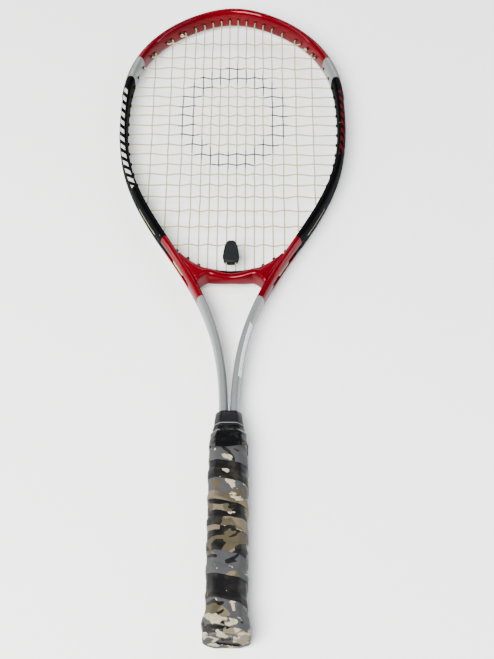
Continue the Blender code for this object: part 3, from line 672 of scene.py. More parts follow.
def base_grip_skin():
    look = Look("base_grip_skin")
    where = look.spot()
    pebble = look.cells(where, 1500.0)
    holes = look.cells(where, 260.0) < 0.16
    # The pits are painted darker than the skin around them: painted shade in the recesses.
    look.colour(look.mix(holes, (0.010, 0.0095, 0.0095), (0.002, 0.002, 0.002)))
    look.rough(0.62 + pebble * 0.2)
    look.bump(pebble - holes * 1.5, 0.5, 0.0003)
    return look.material


def staple_steel():
    look = Look("staple_steel", metallic=1.0)
    where = look.spot()
    drawn = look.noise(look.stretch(where, (60.0, 900.0, 900.0)), 3.0, 3.0)
    look.colour(look.mix(drawn, (0.36, 0.36, 0.36), (0.5, 0.5, 0.5)))
    look.rough(0.28 + drawn * 0.2)
    look.bump(drawn, 0.15, 0.0001)
    return look.material


def floor_paint():
    look = Look("pale_floor", roughness=0.9, specular_ior_level=0.1)
    mottle = look.noise(look.spot(), 3.0, 2.0)
    look.colour(look.mix(mottle, (0.95, 0.95, 0.95), (0.97, 0.97, 0.97)))
    return look.material


# ---------------------------------------------------------------- geometry node trees

class Tree:
    """A Geometry Nodes tree with named inputs; it ends in Realize Instances and Set Material."""

    def __init__(self, name, inputs):
        self.group = bpy.data.node_groups.new(name, 'GeometryNodeTree')
        face = self.group.interface
        face.new_socket("Geometry", in_out='INPUT', socket_type='NodeSocketGeometry')
        for label, kind in inputs:
            face.new_socket(label, in_out='INPUT', socket_type='NodeSocket' + kind)
        face.new_socket("Geometry", in_out='OUTPUT', socket_type='NodeSocketGeometry')
        self.start = self.group.nodes.new('NodeGroupInput').outputs
        self.end = self.group.nodes.new('NodeGroupOutput').inputs

    def node(self, kind, settings, values):
        made = self.group.nodes.new(kind)
        for label, value in settings.items():
            setattr(made, label, value)
        for label, value in values.items():
            if isinstance(value, bpy.types.NodeSocket):
                self.group.links.new(value, made.inputs[label])
            else:
                made.inputs[label].default_value = value
        return made.outputs

    def close(self, shape):
        real = self.node('GeometryNodeRealizeInstances', {}, {0: shape})[0]
        smooth = self.node('GeometryNodeSetShadeSmooth', {}, {0: real})[0]
        painted = self.node('GeometryNodeSetMaterial', {},
                            {0: smooth, "Material": self.start["Material"]})[0]
        self.group.links.new(painted, self.end[0])
        return self.group


def cord_tree():
    """A round string along every spline, with its length stored for the material."""
    tree = Tree("string_sweep", [("Radius", 'Float'), ("Sides", 'Int'), ("Material", 'Material')])
    length = tree.node('GeometryNodeSplineParameter', {}, {})["Length"]
    marked = tree.node('GeometryNodeStoreNamedAttribute', {"data_type": 'FLOAT', "domain": 'POINT'},
                       {0: tree.start["Geometry"], "Name": "along", "Value": length})[0]
    ring = tree.node('GeometryNodeCurvePrimitiveCircle', {},
                     {"Resolution": tree.start["Sides"], "Radius": tree.start["Radius"]})[0]
    swept = tree.node('GeometryNodeCurveToMesh', {}, {0: marked, 1: ring, "Fill Caps": True})[0]
    return tree.close(swept)


def barrel_tree():
    """A barrel at each point of the holes' mesh, turned along aim and as long as reach."""
    tree = Tree("grommet_row", [("Holes", 'Object'), ("Barrel", 'Object'), ("Material", 'Material')])
    points = tree.node('GeometryNodeObjectInfo', {}, {0: tree.start["Holes"]})["Geometry"]
    barrel = tree.node('GeometryNodeObjectInfo', {}, {0: tree.start["Barrel"]})["Geometry"]
    aim = tree.node('GeometryNodeInputNamedAttribute', {"data_type": 'FLOAT_VECTOR'},
                    {"Name": "aim"})["Attribute"]
    reach = tree.node('GeometryNodeInputNamedAttribute', {"data_type": 'FLOAT'},
                      {"Name": "reach"})["Attribute"]
    turn = tree.node('FunctionNodeAlignRotationToVector', {"axis": 'Z'}, {"Vector": aim})[0]
    size = tree.node('ShaderNodeCombineXYZ', {}, {0: 1.0, 1: 1.0, 2: reach})[0]
    row = tree.node('GeometryNodeInstanceOnPoints', {},
                    {0: points, "Instance": barrel, "Rotation": turn, "Scale": size})[0]
    both = tree.group.nodes.new('GeometryNodeJoinGeometry')
    real = tree.node('GeometryNodeRealizeInstances', {}, {0: row})[0]
    tree.group.links.new(tree.start["Geometry"], both.inputs[0])
    tree.group.links.new(real, both.inputs[0])
    return tree.close(both.outputs[0])


def grow(obj, group, values, name):
    """The tree's result as a plain mesh object."""
    modifier = obj.modifiers.new(group.name, 'NODES')
    modifier.node_group = group
    for item in group.interface.items_tree:
        if item.in_out == 'INPUT' and item.name in values:
            modifier[item.identifier] = values[item.name]
    graph = bpy.context.evaluated_depsgraph_get()
    mesh = bpy.data.meshes.new_from_object(obj.evaluated_get(graph), depsgraph=graph)
    bpy.data.objects.remove(obj)
    mesh.name = name
    mesh.set_sharp_from_angle(angle=SHARP)
    return linked(name, mesh)


# ---------------------------------------------------------------- string places

def main_x(k):
    spread = max(0.0, (k - 3.5) / 4.5)**3.1
    return MAIN_PITCH * (k - 0.5) + MAIN_SPREAD * spread


def cross_y(j):
    step = j - CROSS_COUNT // 2
    far = max(0.0, (abs(step) - 4) / 5)
    extra = TIP_SPREAD * far**4.5 if step < 0 else -LOW_SPREAD * far**2.4
    return CROSS_MIDDLE - CROSS_PITCH * step + extra


def bend_depth(s):
    return -(width_at(s) + BARREL_PROUD + BEND_REACH)


def tube_hole(s):
    a = width_at(s)
    floor = a - groove_at(s)
    return {"s": s, "bend": at_tube(s, bend_depth(s)), "tip": at_tube(s, -a - BARREL_PROUD),
            "foot": at_tube(s, floor + GAP), "exit": at_tube(s, a - LOOP_DEPTH)}


def low_main_hole(k):
    """Mains 7 and 8 pass the tube, 4 to 6 stand in throat grommets, 1 to 3 in the yoke."""
    x = main_x(k)
    if k >= 7:
        return tube_hole(find_station(x, 0, bend_depth, 260, 470))
    tilt = math.radians(THROAT_TILT.get(k, 0.0))
    aim = Vector((math.sin(tilt), -math.cos(tilt), 0))
    proud = THROAT_PROUD.get(k, BARREL_PROUD + GAP)
    face_x = x + aim.x * (proud + BEND_REACH)
    face = Vector((face_x, ARC_CENTRE_Y - math.sqrt(ARC_RADIUS**2 - face_x**2), 0))
    hole = {"s": None, "tip": tuple(face - aim * proud),
            "bend": tuple(face - aim * (proud + BEND_REACH))}
    if k >= 5:
        hole["s"], hole["exit"] = line_exit(face, aim)
        hole["foot"] = tuple(Vector(hole["exit"]) - aim * 3.8)
    else:
        hole["exit"] = yoke_exit(face, aim)
        hole["foot"] = tuple(Vector(hole["exit"]) - aim * 1.8)
    return hole


def line_exit(start, aim):
    places = np.linspace(330, 560, 2300)
    points = [Vector(at_tube(s, width_at(s) - LOOP_DEPTH)) for s in places]
    misses = [abs((p - start).cross(aim).z) for p in points]
    best = int(np.argmin(misses))
    return float(places[best]), tuple(points[best])


def yoke_exit(start, aim):
    for step in np.linspace(2, 30, 561):
        point = start + aim * float(step)
        angle = math.atan2(point.x, ARC_CENTRE_Y - point.y)
        if math.hypot(point.x, ARC_CENTRE_Y - point.y) >= yoke_outer_radius(angle) - LOOP_SINK:
            return tuple(point)
    raise ValueError("hole does not leave the yoke")


def with_side(hole, side):
    found = {key: (side * hole[key][0], hole[key][1], hole[key][2])
             for key in ("bend", "tip", "foot", "exit")}
    found["s"] = None if hole["s"] is None else side * hole["s"]
    return found


def main_holes():
    order = [(-1, k) for k in range(MAINS_PER_SIDE, 0, -1)]
    order += [(1, k) for k in range(1, MAINS_PER_SIDE + 1)]
    top = {k: tube_hole(find_station(main_x(k), 0, bend_depth, 0.5, 190))
           for k in range(1, MAINS_PER_SIDE + 1)}
    low = {k: low_main_hole(k) for k in range(1, MAINS_PER_SIDE + 1)}
    return ([with_side(top[k], side) for side, k in order],
            [with_side(low[k], side) for side, k in order])


def cross_holes():
    pairs = []
    for j in range(CROSS_COUNT):
        low = 45 if j < CROSS_COUNT // 2 else 200
        hole = tube_hole(find_station(cross_y(j), 1, bend_depth, low, 470))
        pairs.append((with_side(hole, -1), hole))
    return pairs


def tie_hole(first, share, second):
    return tube_hole(first["s"] + share * (second["s"] - first["s"]))


# ---------------------------------------------------------------- strings

def outside_loop(first, second, z):
    """From one hole's outer end to the next one's, in the groove or inside the yoke."""
    if first["s"] is None or second["s"] is None:
        return [first["exit"], second["exit"]]
    low, high = min(first["s"], second["s"]), max(first["s"], second["s"])
    places = spaced(low + 1.6, high - 1.6, 4.0)
    if first["s"] > second["s"]:
        places.reverse()
    run = [at_tube(s, width_at(s) - LOOP_DEPTH, z) for s in places]
    return [first["exit"]] + run + [second["exit"]]


def softened(points, reach=1.3, steps=4):
    """Each corner of a path replaced by a short smooth bend."""
    path = [Vector(p) for p in points]
    done = [path[0]]
    for before, here, after in zip(path, path[1:], path[2:]):
        back, on = before - here, after - here
        if min(back.length, on.length) < 1e-6 or back.angle(on) > math.radians(172):
            done.append(here)
            continue
        start = here + back.normalized() * min(reach, back.length * 0.45)
        end = here + on.normalized() * min(reach, on.length * 0.45)
        for k in range(steps + 1):
            t = k / steps
            done.append((1 - t)**2 * start + 2 * t * (1 - t) * here + t**2 * end)
    done.append(path[-1])
    return done


def woven(first, last, crossings, axis, wave, drift, steps=6):
    """A string between two bends: it waves over the crossings and has drifted a little."""
    first, last = Vector(first), Vector(last)
    span = last - first
    places = [0.0] + [(at - first[axis]) / span[axis] for at, _ in crossings] + [1.0]
    heights = [0.0] + [side * wave for _, side in crossings] + [0.0]
    slides = [0.0] + list(drift) + [0.0]
    points = []
    for k in range(len(places) - 1):
        for step in range(steps if k < len(places) - 2 else steps + 1):
            t = step / steps
            ease = 0.5 - 0.5 * math.cos(math.pi * t)
            share = places[k] + (places[k + 1] - places[k]) * t
            point = first + span * share
            point.z += heights[k] + (heights[k + 1] - heights[k]) * ease
            point[1 - axis] += slides[k] + (slides[k + 1] - slides[k]) * ease
            points.append(tuple(point))
    return points


def string_object(name, paths):
    data = bpy.data.curves.new(name, 'CURVE')
    data.dimensions = '3D'
    for path in paths:
        line = data.splines.new('POLY')
        line.points.add(len(path) - 1)
        for spot, point in zip(line.points, path):
            spot.co = (*place(point), 1.0)
    return linked(name, data)


def knot_path(hole, tail):
    """An overhand knot in front of a grommet, with its cut end."""
    tip = Vector(hole["bend"])
    inward = (tip - Vector(hole["exit"])).normalized()
    across = inward.cross(Vector((0, 0, 1)))
    up = Vector((0, 0, 1))
    points = []
    for k in range(37):
        t = 2 * math.pi * k / 36
        radius = 0.95 + 0.45 * math.cos(3 * t)
        points.append(tip + across * (radius * math.cos(2 * t)) + up * (radius * math.sin(2 * t))
                      + inward * (0.55 * math.sin(3 * t)))
    points.append(tip + inward * 1.6 + across * tail[0] * 0.4)
    points.append(tip + inward * tail[1] + across * tail[0] + up * tail[2])
    return [tuple(p) for p in softened(points, 0.6, 3)]


def main_path(rng, ties):
    points = []
    count = 2 * MAINS_PER_SIDE
    for i in range(count):
        upward = i % 2 == 1
        first, second = (LOW[i], TOP[i]) if upward else (TOP[i], LOW[i])
        x, low_y, high_y = TOP[i]["bend"][0], LOW[i]["bend"][1], TOP[i]["bend"][1]
        rows = [(cross_y(j), -1 if (i + j) % 2 else 1) for j in range(CROSS_COUNT)
                if low_y + 2 < cross_y(j) < high_y - 2
                and abs(x) < abs(CROSSES[j][1]["bend"][0]) - 1.8]
        if upward:
            rows.reverse()
        drift = rng.uniform(-DRIFT, DRIFT, len(rows)) * 0.7
        points += woven(first["bend"], second["bend"], rows, 1, MAIN_WAVE, drift)
        if i + 1 < count:
            following = (TOP if upward else LOW)[i + 1]
            points += outside_loop(second, following, -LOOP_HEIGHT)
    first_tail = outside_loop(TOP[0], ties[0], LOOP_HEIGHT) + [ties[0]["bend"]]
    last_tail = outside_loop(TOP[-1], ties[1], -LOOP_HEIGHT) + [ties[1]["bend"]]
    return first_tail[::-1] + points + last_tail


def cross_path(rng):
    points = []
    for j in range(CROSS_COUNT):
        left, right = CROSSES[j]
        y, edge = cross_y(j), right["bend"][0]
        rows = [(TOP[i]["bend"][0], 1 if (i + j) % 2 else -1) for i in range(2 * MAINS_PER_SIDE)
                if abs(TOP[i]["bend"][0]) < edge - 1.8
                and LOW[i]["bend"][1] + 2 < y < TOP[i]["bend"][1] - 2]
        pair = (left, right)
        if j % 2:
            rows.reverse()
            pair = (right, left)
        drift = rng.uniform(-DRIFT, DRIFT, len(rows))
        if j:
            points += outside_loop(CROSSES[j - 1][j % 2], pair[0], LOOP_HEIGHT)
        else:
            points.append(pair[0]["exit"])
        points += woven(pair[0]["bend"], pair[1]["bend"], rows, 0, CROSS_WAVE, drift)
    points.append(CROSSES[-1][1]["exit"])
    return points


def make_strings(nylon):
    rng = np.random.default_rng(SEED)
    ties = (tie_hole(TOP[2], TIE_SHARES[0], TOP[1]), tie_hole(TOP[15], TIE_SHARES[1], CROSSES[0][1]))
    sweep = cord_tree()
    inputs = {"Radius": STRING_RADIUS * MM, "Sides": 9, "Material": nylon}
    mains = [softened(main_path(rng, ties)), knot_path(ties[0], (-2.6, 5.5, 1.8)),
             knot_path(ties[1], (2.0, 3.2, 1.0))]
    made = []
    for name, paths in (("main_string", mains), ("cross_string", [softened(cross_path(rng))])):
        piece = grow(string_object(name, paths), sweep, inputs, name + "_twisted")
        finish_piece(piece, "racket", "string_nylon", name)
        made.append(piece)
    return ties


# ---------------------------------------------------------------- frame and yoke

def finish_piece(piece, body, slot, *nodes):
    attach(piece, body)
    if nodes:
        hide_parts(*nodes)


def make_frame(paint):
    places = spaced(-HALF_LENGTH, HALF_LENGTH, TUBE_STEP)
    rings = [section_ring(s, tube_section(s)) for s in places]
    piece = loft("painted_tube", rings, paint)
    count = len(rings[0])
    add_attribute(piece, "along", [s for s in places for _ in range(count)])
    half = count // 2 + 1
    shares = [min(i, count - i) / (half - 1) for i in range(count)]
    add_attribute(piece, "round", [share for _ in places for share in shares])
    finish_piece(piece, "racket", "frame_paint", "frame_tube")


def arc_point(angle, radius):
    return (radius * math.sin(angle), ARC_CENTRE_Y - radius * math.cos(angle))


SIDE_PLACES = np.linspace(360, HALF_LENGTH - 150, 700)
SIDE = [at_tube(s, -width_at(s) + YOKE_SINK) for s in SIDE_PLACES]
SIDE_TURN = [-math.atan2(x, ARC_CENTRE_Y - y) for x, y, _ in SIDE]
SIDE_REACH = [math.hypot(x, ARC_CENTRE_Y - y) for x, y, _ in SIDE]


def yoke_outer_radius(angle):
    angle = abs(angle)
    plain = ARC_RADIUS + YOKE_DEPTH
    if angle <= YOKE_CORNER:
        return plain
    join = float(np.interp(-YOKE_JOIN, SIDE_TURN, SIDE_REACH))
    if angle >= YOKE_JOIN:
        return float(np.interp(-angle, SIDE_TURN, SIDE_REACH))
    share = (angle - YOKE_CORNER) / (YOKE_JOIN - YOKE_CORNER)
    return plain + (join - plain) * share**2.2


def yoke_ring(angle):
    near, far = ARC_RADIUS, yoke_outer_radius(angle)
    a, middle = (far - near) / 2, (far + near) / 2
    share = min(abs(angle) / YOKE_JOIN, 1.0)
    b = YOKE_HALF_HEIGHT + YOKE_SIDE_RISE * share * share * (3 - 2 * share)
    power = YOKE_SQUARENESS[0] + (YOKE_SQUARENESS[1] - YOKE_SQUARENESS[0]) * share
    upper = [rounded(a, b, k / 16, power) for k in range(17)]
    upper[0], upper[-1] = (a, 0.0), (-a, 0.0)
    return [(*arc_point(angle, middle + out), z) for out, z in mirrored(upper)]


def make_yoke(paint):
    angles = np.linspace(-YOKE_TIP, YOKE_TIP, 141)
    piece = loft("painted_yoke", [yoke_ring(float(t)) for t in angles], paint)
    finish_piece(piece, "racket", "yoke_paint", "throat_bridge")


# ---------------------------------------------------------------- grommets and bumper

def barrel_object():
    """A barrel one millimetre long that widens to a lip at its far end."""
    rows = [(BORE_RADIUS, 0.0), (BARREL_RADIUS, 0.0), (BARREL_RADIUS, 0.90), (1.62, 0.93),
            (1.62, 0.97), (1.45, 1.0), (1.15, 1.0), (BORE_RADIUS, 0.97)]
    rings = []
    for radius, z in rows:
        turns = [2 * math.pi * k / 16 for k in range(16)]
        rings.append([(radius * math.cos(t) * MM, radius * math.sin(t) * MM, z * MM)
                      for t in turns])
    mesh = bpy.data.meshes.new("barrel")
    mesh.from_pydata([p for ring in rings for p in ring], [], band_faces(len(rows), 16, True))
    face_outward(mesh)
    return linked("barrel", mesh)


def holes_object(name, holes):
    mesh = bpy.data.meshes.new(name)
    mesh.from_pydata([place(h["foot"]) for h in holes], [], [])
    spans = [Vector(h["tip"]) - Vector(h["foot"]) for h in holes]
    aim = mesh.attributes.new("aim", 'FLOAT_VECTOR', 'POINT')
    aim.data.foreach_set("vector", [c for span in spans for c in span.normalized()])
    mesh.attributes.new("reach", 'FLOAT', 'POINT').data.foreach_set("value", [v.length for v in spans])
    return linked(name, mesh)


def strip_ring(s):
    floor = width_at(s) - groove_at(s) + GAP
    top = floor + STRIP_THICK
    rim = max(top + 0.05, width_at(s) - 0.05)
    near, far = STRIP_WALL
    upper = [(top + 0.1, 0.0), (top, near - 0.1), (rim, near), (rim, far), (floor + 0.3, far),
             (floor, STRIP_HALF), (floor, 0.0)]
    return section_ring(s, mirrored(upper))


def throat_strip_ring(angle):
    thick, half = THROAT_STRIP
    near, far = ARC_RADIUS - GAP - thick, ARC_RADIUS - GAP
    upper = [(far, 0.0), (far, half), (near + 0.3, half), (near, half - 0.5), (near, 0.0)]
    return [(*arc_point(angle, r), z) for r, z in mirrored(upper)]


def make_grommets(nylon, ties):
    tree, barrel = barrel_tree(), barrel_object()
    head_end = (TOP[-1]["s"] + CROSSES[1][1]["s"]) / 2 - GAP / 2
    side_end = CROSSES[-1][1]["s"] + 5
    rows = [("head_grommet_strip", -head_end, head_end, TOP + list(ties) + list(CROSSES[0])),
            ("right_grommet_strip", head_end + GAP, side_end,
             [pair[1] for pair in CROSSES[1:]] + LOW[-2:]),
            ("left_grommet_strip", -side_end, -head_end - GAP,
             [pair[0] for pair in CROSSES[1:]] + LOW[:2])]
    for name, start, end, holes in rows:
        strip = loft(name + "_base", [strip_ring(s) for s in spaced(start, end, 4.0)], None)
        grow_row(strip, tree, barrel, holes, nylon, name)
    throat = loft("throat_strip_base", [throat_strip_ring(float(t)) for t in
                  np.linspace(math.radians(-15), math.radians(15), 31)], None)
    grow_row(throat, tree, barrel, LOW[6:10], nylon, "throat_grommet_strip")
    for number, i in enumerate((2, 3, 4, 11, 12, 13), start=1):
        empty = linked("start", bpy.data.meshes.new("start"))
        grow_row(empty, tree, barrel, [LOW[i]], nylon, "throat_grommet_%d" % number)
    bpy.data.objects.remove(barrel)


def grow_row(base, tree, barrel, holes, nylon, node):
    points = holes_object(node + "_holes", holes)
    values = {"Holes": points, "Barrel": barrel, "Material": nylon}
    piece = grow(base, tree, values, node + "_moulded")
    bpy.data.objects.remove(points)
    finish_piece(piece, "racket", "black_nylon", node)


def bumper_ring(s):
    a = width_at(s)
    thick = BUMPER_THICK - max(0.0, abs(s) / BUMPER_REACH - 0.8) / 0.2
    upper = [(a + thick, 0.0), (a + thick, 2.4), (a + thick - 0.12, 3.5),
             (a + 0.35 + 0.55 * (thick - 0.35), 5.3), (a + 0.52, 6.3), (a + 0.3, 6.65),
             (a, 6.6), (a - 0.12, 6.2), (a + 0.12, 4.9), (a + GAP, 3.9), (a + GAP, 0.0)]
    return section_ring(s, mirrored(upper))


def make_bumper(plastic):
    places = spaced(-BUMPER_REACH, BUMPER_REACH, 2.4)
    piece = loft("clear_bumper", [bumper_ring(s) for s in places], plastic)
    finish_piece(piece, "racket", "bumper_plastic", "bumper_guard")


# ---------------------------------------------------------------- handle

def handle_size(y):
    flare = float(np.interp(y, *FLARE))
    places = SIZE_PLACES
    return (float(np.interp(y, places, HALF_X)) + flare, float(np.interp(y, places, HALF_Z)) + flare)


def octagon_reach(turn, half_x, half_z):
    """Distance from the axis to a rounded octagon in one direction."""
    slanted = (half_x + half_z - BEVEL_SHARE * half_z) / math.sqrt(2)
    total = 0.0
    for k in range(8):
        distance = slanted if k % 2 else (half_x if k % 4 == 0 else half_z)
        total += max(0.0, math.cos(turn - k * math.pi / 4) / distance)**CORNER_POWER
    return total**(-1 / CORNER_POWER)


def handle_ring(y, half_x, half_z, count=96):
    ring = []
    for k in range(count):
        turn = 2 * math.pi * k / count
        reach = octagon_reach(turn, half_x, half_z)
        ring.append((reach * math.cos(turn), y, reach * math.sin(turn)))
    return ring


def sized(y, extra):
    half_x, half_z = handle_size(y)
    return (y, half_x + extra, half_z + extra)


def wrap_edge(turn):
    return float(np.interp(turn, range(len(LOWER_EDGES)), LOWER_EDGES))


def wrap_point(turn, y, lift):
    """A point of the wrap; past the butt's edge it folds in over the end."""
    angle = math.pi - 2 * math.pi * turn
    corner = BUTT_END + 1.6
    over = max(0.0, corner - y)
    side_y = max(y, corner)
    half_x, half_z = handle_size(side_y)
    reach = octagon_reach(angle, half_x + WRAP_BASE + lift, half_z + WRAP_BASE + lift)
    if over > 0:
        bend = min(over / 2.5, 1.0) * math.pi / 2
        reach -= 1.6 * (1 - math.cos(bend)) + max(0.0, over - 2.5)
        side_y = corner - 1.1 * math.sin(bend) - lift * 0.35 * math.sin(bend)
    return (max(reach, 3.0) * math.cos(angle), side_y, max(reach, 3.0) * math.sin(angle))


def wrap_lift(turn, y):
    """How far the wrap stands off where it lies over the turn below it."""
    covered = wrap_edge(turn + 1) + WRAP_WIDTH if turn + 1 < WRAP_TURNS else -999.0
    share = min(max((covered + 2.2 - y) / 2.2, 0.0), 1.0)
    ripple = 0.10 * math.sin(turn * 23.0) + 0.08 * math.sin(turn * 57.0 + y * 0.6)
    return share * share * (3 - 2 * share) * (WRAP_THICK + 0.12) + ripple * 0.6 + 0.06


def make_overgrip(print_finish):
    start = float(np.interp(-(WRAP_TOP - 1.5), [-e for e in LOWER_EDGES], range(len(LOWER_EDGES))))
    turns = np.linspace(start, WRAP_TURNS, 1080)
    across = 16
    verts, spots, turn_marks = [], [], []
    for turn in turns:
        edge = max(wrap_edge(float(turn)), BUTT_END - WRAP_FOLD)
        width = min(wrap_edge(float(turn)) + WRAP_WIDTH, WRAP_TOP) - edge
        rows = [edge + width * k / (across - 1) for k in range(across)]
        outer, inner = [], []
        for k, y in enumerate(rows):
            lift = wrap_lift(float(turn), y)
            thick = WRAP_THICK * (0.55 if k in (0, across - 1) else 1.0)
            outer.append(wrap_point(float(turn), y, lift + thick))
            inner.append(wrap_point(float(turn), y, lift))
        verts += outer + inner[::-1]
        marks = [(turn * TURN_LENGTH * MM, (y - wrap_edge(float(turn))) * MM) for y in rows]
        spots += marks + marks[::-1]
        turn_marks += [float(turn)] * (2 * across)
    count = 2 * across
    faces = band_faces(len(turns), count)
    last = (len(turns) - 1) * count
    faces += [tuple(range(count)), tuple(range(last, last + count))]
    piece = make_piece("wrapped_overgrip", verts, faces, print_finish, sharp=math.radians(60))
    add_attribute(piece, "turn", turn_marks)
    layer = piece.data.uv_layers.new(name="wrap")
    for corner, uv in zip(piece.data.loops, layer.data):
        uv.uv = spots[corner.vertex_index]
    finish_piece(piece, "racket", "overgrip_print", "overgrip")


def make_base_grip(skin):
    rows = spaced(GRIP_TOP, GRIP_FOOT, 2.5)
    outer = [sized(y, BASE_GRIP_OUT - 0.15 + 0.12 * math.sin(y * 0.55)) for y in rows]
    inner = [sized(y, GAP) for y in rows]
    piece = turned("soft_base_grip", outer, inner, handle_ring, skin)
    finish_piece(piece, "racket", "base_grip_skin", "base_grip")


def make_butt_cap(plastic):
    fit = BASE_GRIP_OUT - 0.05
    rows = [sized(y, fit) for y in (-321.0, -324.0, -327.0, -330.0, -333.0, -338.0)]
    rows.append((BUTT_END + 1.7, handle_size(PALLET_FOOT)[0] + fit - 0.8,
                 handle_size(PALLET_FOOT)[1] + fit - 0.8))
    rows += [(BUTT_END + 1.35, 12.0, 9.5), (BUTT_END + 1.35, 4.0, 4.0), (BUTT_END + 2.2, 3.4, 3.4),
             (BUTT_END + 2.2, 0.2, 0.2)]
    inside = [(-321.0, 13.3, 11.3), (PALLET_FOOT - GAP, 13.3, 11.3), (PALLET_FOOT - GAP, 0.2, 0.2)]
    rings = [handle_ring(*row, count=64) for row in reversed(inside)]
    rings += [handle_ring(*row, count=64) for row in rows]
    piece = loft("moulded_butt_cap", rings, plastic)
    finish_piece(piece, "racket", "cap_plastic", "butt_cap")


def tape_foot(turn):
    """The torn lower edge of the finishing tape."""
    droop = -4.5 * max(0.0, math.sin(turn))**2
    return TAPE_FOOT + droop + 1.2 * math.sin(2 * turn + 0.8) + 0.5 * math.sin(5 * turn)


def make_tape(vinyl):
    count, rows = 128, 30
    rings = []
    for layer in (TAPE_THICK, 0.0):
        order = range(rows + 1) if layer else range(rows, -1, -1)
        for r in order:
            ring = []
            for k in range(count):
                turn = 2 * math.pi * k / count
                y = GRIP_TOP + (tape_foot(turn) - GRIP_TOP) * r / rows
                half_x, half_z = handle_size(y)
                step = min(max((WRAP_TOP + 1.5 - y) / 1.5, 0.0), 1.0)
                wave = (0.16 * math.sin(5 * turn + y * 0.5) + 0.12 * math.sin(3 * turn - y * 0.9)
                        + 0.06 * math.sin(11 * turn + y * 1.1))
                out = BASE_GRIP_OUT + 0.65 + TAPE_STEP * step + wave * 0.4 + layer
                reach = octagon_reach(turn, half_x + out, half_z + out)
                ring.append((reach * math.cos(turn), y, reach * math.sin(turn)))
            rings.append(ring)
    piece = loft("stretched_tape", rings, vinyl, closed=True)
    finish_piece(piece, "racket", "tape_vinyl", "finishing_tape")


def make_collar(rubber):
    outer = [(COLLAR_TOP, 10.2, 9.5), (COLLAR_TOP - 0.25, 10.65, 9.95),
             (COLLAR_TOP - 1.0, 11.05, 10.4), (-150.0, 11.6, 11.05), (-155.0, 12.1, 11.6),
             (COLLAR_FOOT + 0.5, 12.6, 12.15), (COLLAR_FOOT, 12.35, 11.9)]
    channel = (CHANNEL_HALF, CHANNEL_HALF)
    inner = [(COLLAR_TOP, *channel), (-157.7, *channel), (-157.7, 11.0, 10.8), (COLLAR_FOOT, 11.0, 10.8)]
    piece = turned("rubber_collar", outer, inner, handle_ring, rubber)
    finish_piece(piece, "racket", "black_rubber", "collar")


def make_label(paper):
    """A thin sticker on the right shaft's shoulder."""
    start = find_station(LABEL_SPAN[1], 1, lambda s: 0.0, 400, HALF_LENGTH)
    end = find_station(LABEL_SPAN[0], 1, lambda s: 0.0, 400, HALF_LENGTH)
    places = spaced(start, end, 1.5)
    shares = [0.14 + 0.27 * k / 8 for k in range(9)]
    rings = []
    for n, s in enumerate(places):
        a, b = width_at(s), height_at(s)
        inset = 0.05 if n in (0, len(places) - 1) else 0.0
        face = [rounded(a + 0.10, b + 0.10, inset + share * (1 - inset)) for share in shares]
        top = [rounded(a + 0.26, b + 0.26, inset + share * (1 - inset)) for share in shares]
        rings.append(section_ring(s, top + face[::-1]))
    piece = loft("shaft_sticker", rings, paper)
    count = len(rings[0])
    add_attribute(piece, "along", [s - start for s in places for _ in range(count)])
    across = [k / 8 for k in range(9)]
    add_attribute(piece, "round", (across + across[::-1]) * len(places))
    finish_piece(piece, "racket", "label_paper", "shaft_label")


# ---------------------------------------------------------------- dampener

def plump_ring(half_x, y0, y1, z, taper):
    """A rounded outline, narrower towards the head by taper."""
    ring = []
    middle, half_y = (y0 + y1) / 2, (y1 - y0) / 2
    for k in range(64):
        turn = 2 * math.pi * k / 64
        c, s = math.cos(turn), math.sin(turn)
        px = math.copysign(abs(c)**0.62, c)
        py = math.copysign(abs(s)**0.62, s)
        narrow = 1 - taper * (py + 1) / 2
        ring.append((half_x * px * narrow, middle + half_y * py, z))
    return ring


def make_dampener(rubber):
    rows = [(4.6, 19.4, 30.1, -3.6), (5.6, 18.2, 31.3, -3.5), (6.6, 17.3, 32.2, -2.9),
            (6.9, 17.0, 32.5, -2.2), (6.9, 17.0, 32.5, -1.0), (3.1, 17.4, 32.1, -0.8),
            (3.1, 17.4, 32.1, 0.8), (6.9, 17.0, 32.5, 1.0), (7.2, 16.8, 33.5, 2.3),
            (8.2, 15.9, 39.8, 2.5), (8.6, 15.5, 40.5, 2.9), (8.6, 15.5, 40.5, 3.8),
            (8.2, 15.9, 40.1, 4.4), (7.4, 16.7, 39.3, 4.8), (5.6, 19.0, 36.5, 4.9),
            (2.0, 25.0, 30.0, 4.85)]
    rings = []
    for half_x, y0, y1, z in rows:
        rings.append(plump_ring(half_x, y0, y1, z, 0.42 if z > 2.2 else 0.0))
    piece = loft("rubber_dampener", rings, rubber)
    finish_piece(piece, "dampener", "black_rubber", "vibration_dampener")


# ---------------------------------------------------------------- stage

FLOOR_HALF = 4.0
FLOOR_GAP = 0.0002
SKY_COLOUR = (0.93, 0.96, 1.0, 1.0)
SKY_STRENGTH = 0.14
# Name, place, size, power and colour of each area light.
LIGHTS = [("behind_viewer", (-0.7, -1.3, 1.9), (1.4, 1.4), 230.0, (1.0, 0.99, 0.97)),
          ("far_strip", (0.1, 1.5, 1.1), (1.6, 0.10), 12.0, (1.0, 0.99, 0.97)),
          ("left_strip", (-1.3, 0.1, 0.8), (0.10, 1.8), 14.0, (1.0, 0.98, 0.95)),
          ("right_strip", (1.3, 0.1, 0.9), (0.12, 1.8), 15.0, (0.80, 0.90, 1.0))]


def make_stage(floor_z):
    mesh = bpy.data.meshes.new("floor")
    corners = [(x * FLOOR_HALF, y * FLOOR_HALF, floor_z) for x, y in ((-1, -1), (1, -1), (1, 1), (-1, 1))]
    mesh.from_pydata(corners, [], [(0, 1, 2, 3)])
    mesh.materials.append(floor_paint())
    linked("floor", mesh)


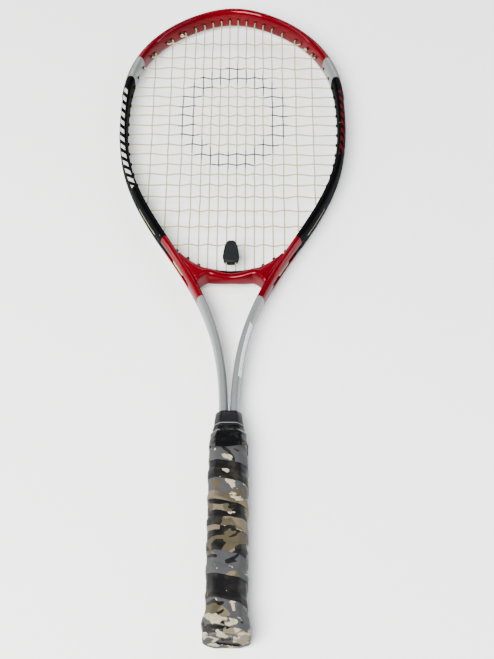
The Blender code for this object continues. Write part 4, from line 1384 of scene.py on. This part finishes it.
def add_light(name, spot, size, power, colour):
    """An area light turned towards the middle of the racket."""
    data = bpy.data.lights.new(name, 'AREA')
    data.shape = 'RECTANGLE'
    data.size, data.size_y = size
    data.energy = power
    data.color = colour
    lamp = linked(name, data)
    lamp.location = spot
    lamp.rotation_euler = (-Vector(spot)).to_track_quat('-Z', 'Y').to_euler()


def make_lights():
    world = bpy.data.worlds.new("studio")
    world.use_nodes = True
    sky = world.node_tree.nodes["Background"].inputs
    sky[0].default_value = SKY_COLOUR
    sky[1].default_value = SKY_STRENGTH
    bpy.context.scene.world = world
    for light in LIGHTS:
        add_light(*light)


VIEW_TILT = math.radians(36.18)
VIEW_ROLL = math.radians(0.286)
VIEW_DISTANCE = 1.2884
VIEW_TARGET = (0.01455, -0.0555)
LENS = 81.94


def make_camera():
    data = bpy.data.cameras.new("camera")
    data.lens = LENS
    data.sensor_width = 36.0
    camera = linked("camera", data)
    offset = Vector((0, -math.sin(VIEW_TILT), math.cos(VIEW_TILT))) * VIEW_DISTANCE
    turn = Matrix.Rotation(VIEW_TILT, 4, 'X') @ Matrix.Rotation(VIEW_ROLL, 4, 'Z')
    camera.matrix_world = Matrix.Translation(Vector((*VIEW_TARGET, STRING_PLANE)) + offset) @ turn
    bpy.context.scene.camera = camera


# ---------------------------------------------------------------- assembly

TOP, LOW = main_holes()
CROSSES = cross_holes()

make_camera()
make_lights()
make_frame(frame_paint())
make_yoke(yoke_paint())
tie_holes = make_strings(string_nylon())
make_grommets(moulded("grommet_nylon", (0.003, 0.003, 0.004), 0.42, fade=0.15).material, tie_holes)
make_bumper(bumper_plastic())
make_base_grip(base_grip_skin())
make_butt_cap(moulded("cap_plastic", (0.008, 0.008, 0.008), 0.45, fade=0.2).material)
make_overgrip(overgrip_print())
make_tape(tape_vinyl())
make_collar(collar_rubber())
make_label(label_paper())
make_dampener(moulded("dampener_rubber", (0.004, 0.005, 0.006), 0.5, 1400.0, 0.25, 0.1).material)

foam, steel = pallet_foam(), staple_steel()
for node_name, finish in (("front_pallet", foam), ("back_pallet", foam),
                          ("front_staple", steel), ("back_staple", steel)):
    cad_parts[node_name].data.materials.clear()
    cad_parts[node_name].data.materials.append(finish)

END_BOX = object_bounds()
make_stage(END_BOX[0][2] - FLOOR_GAP)
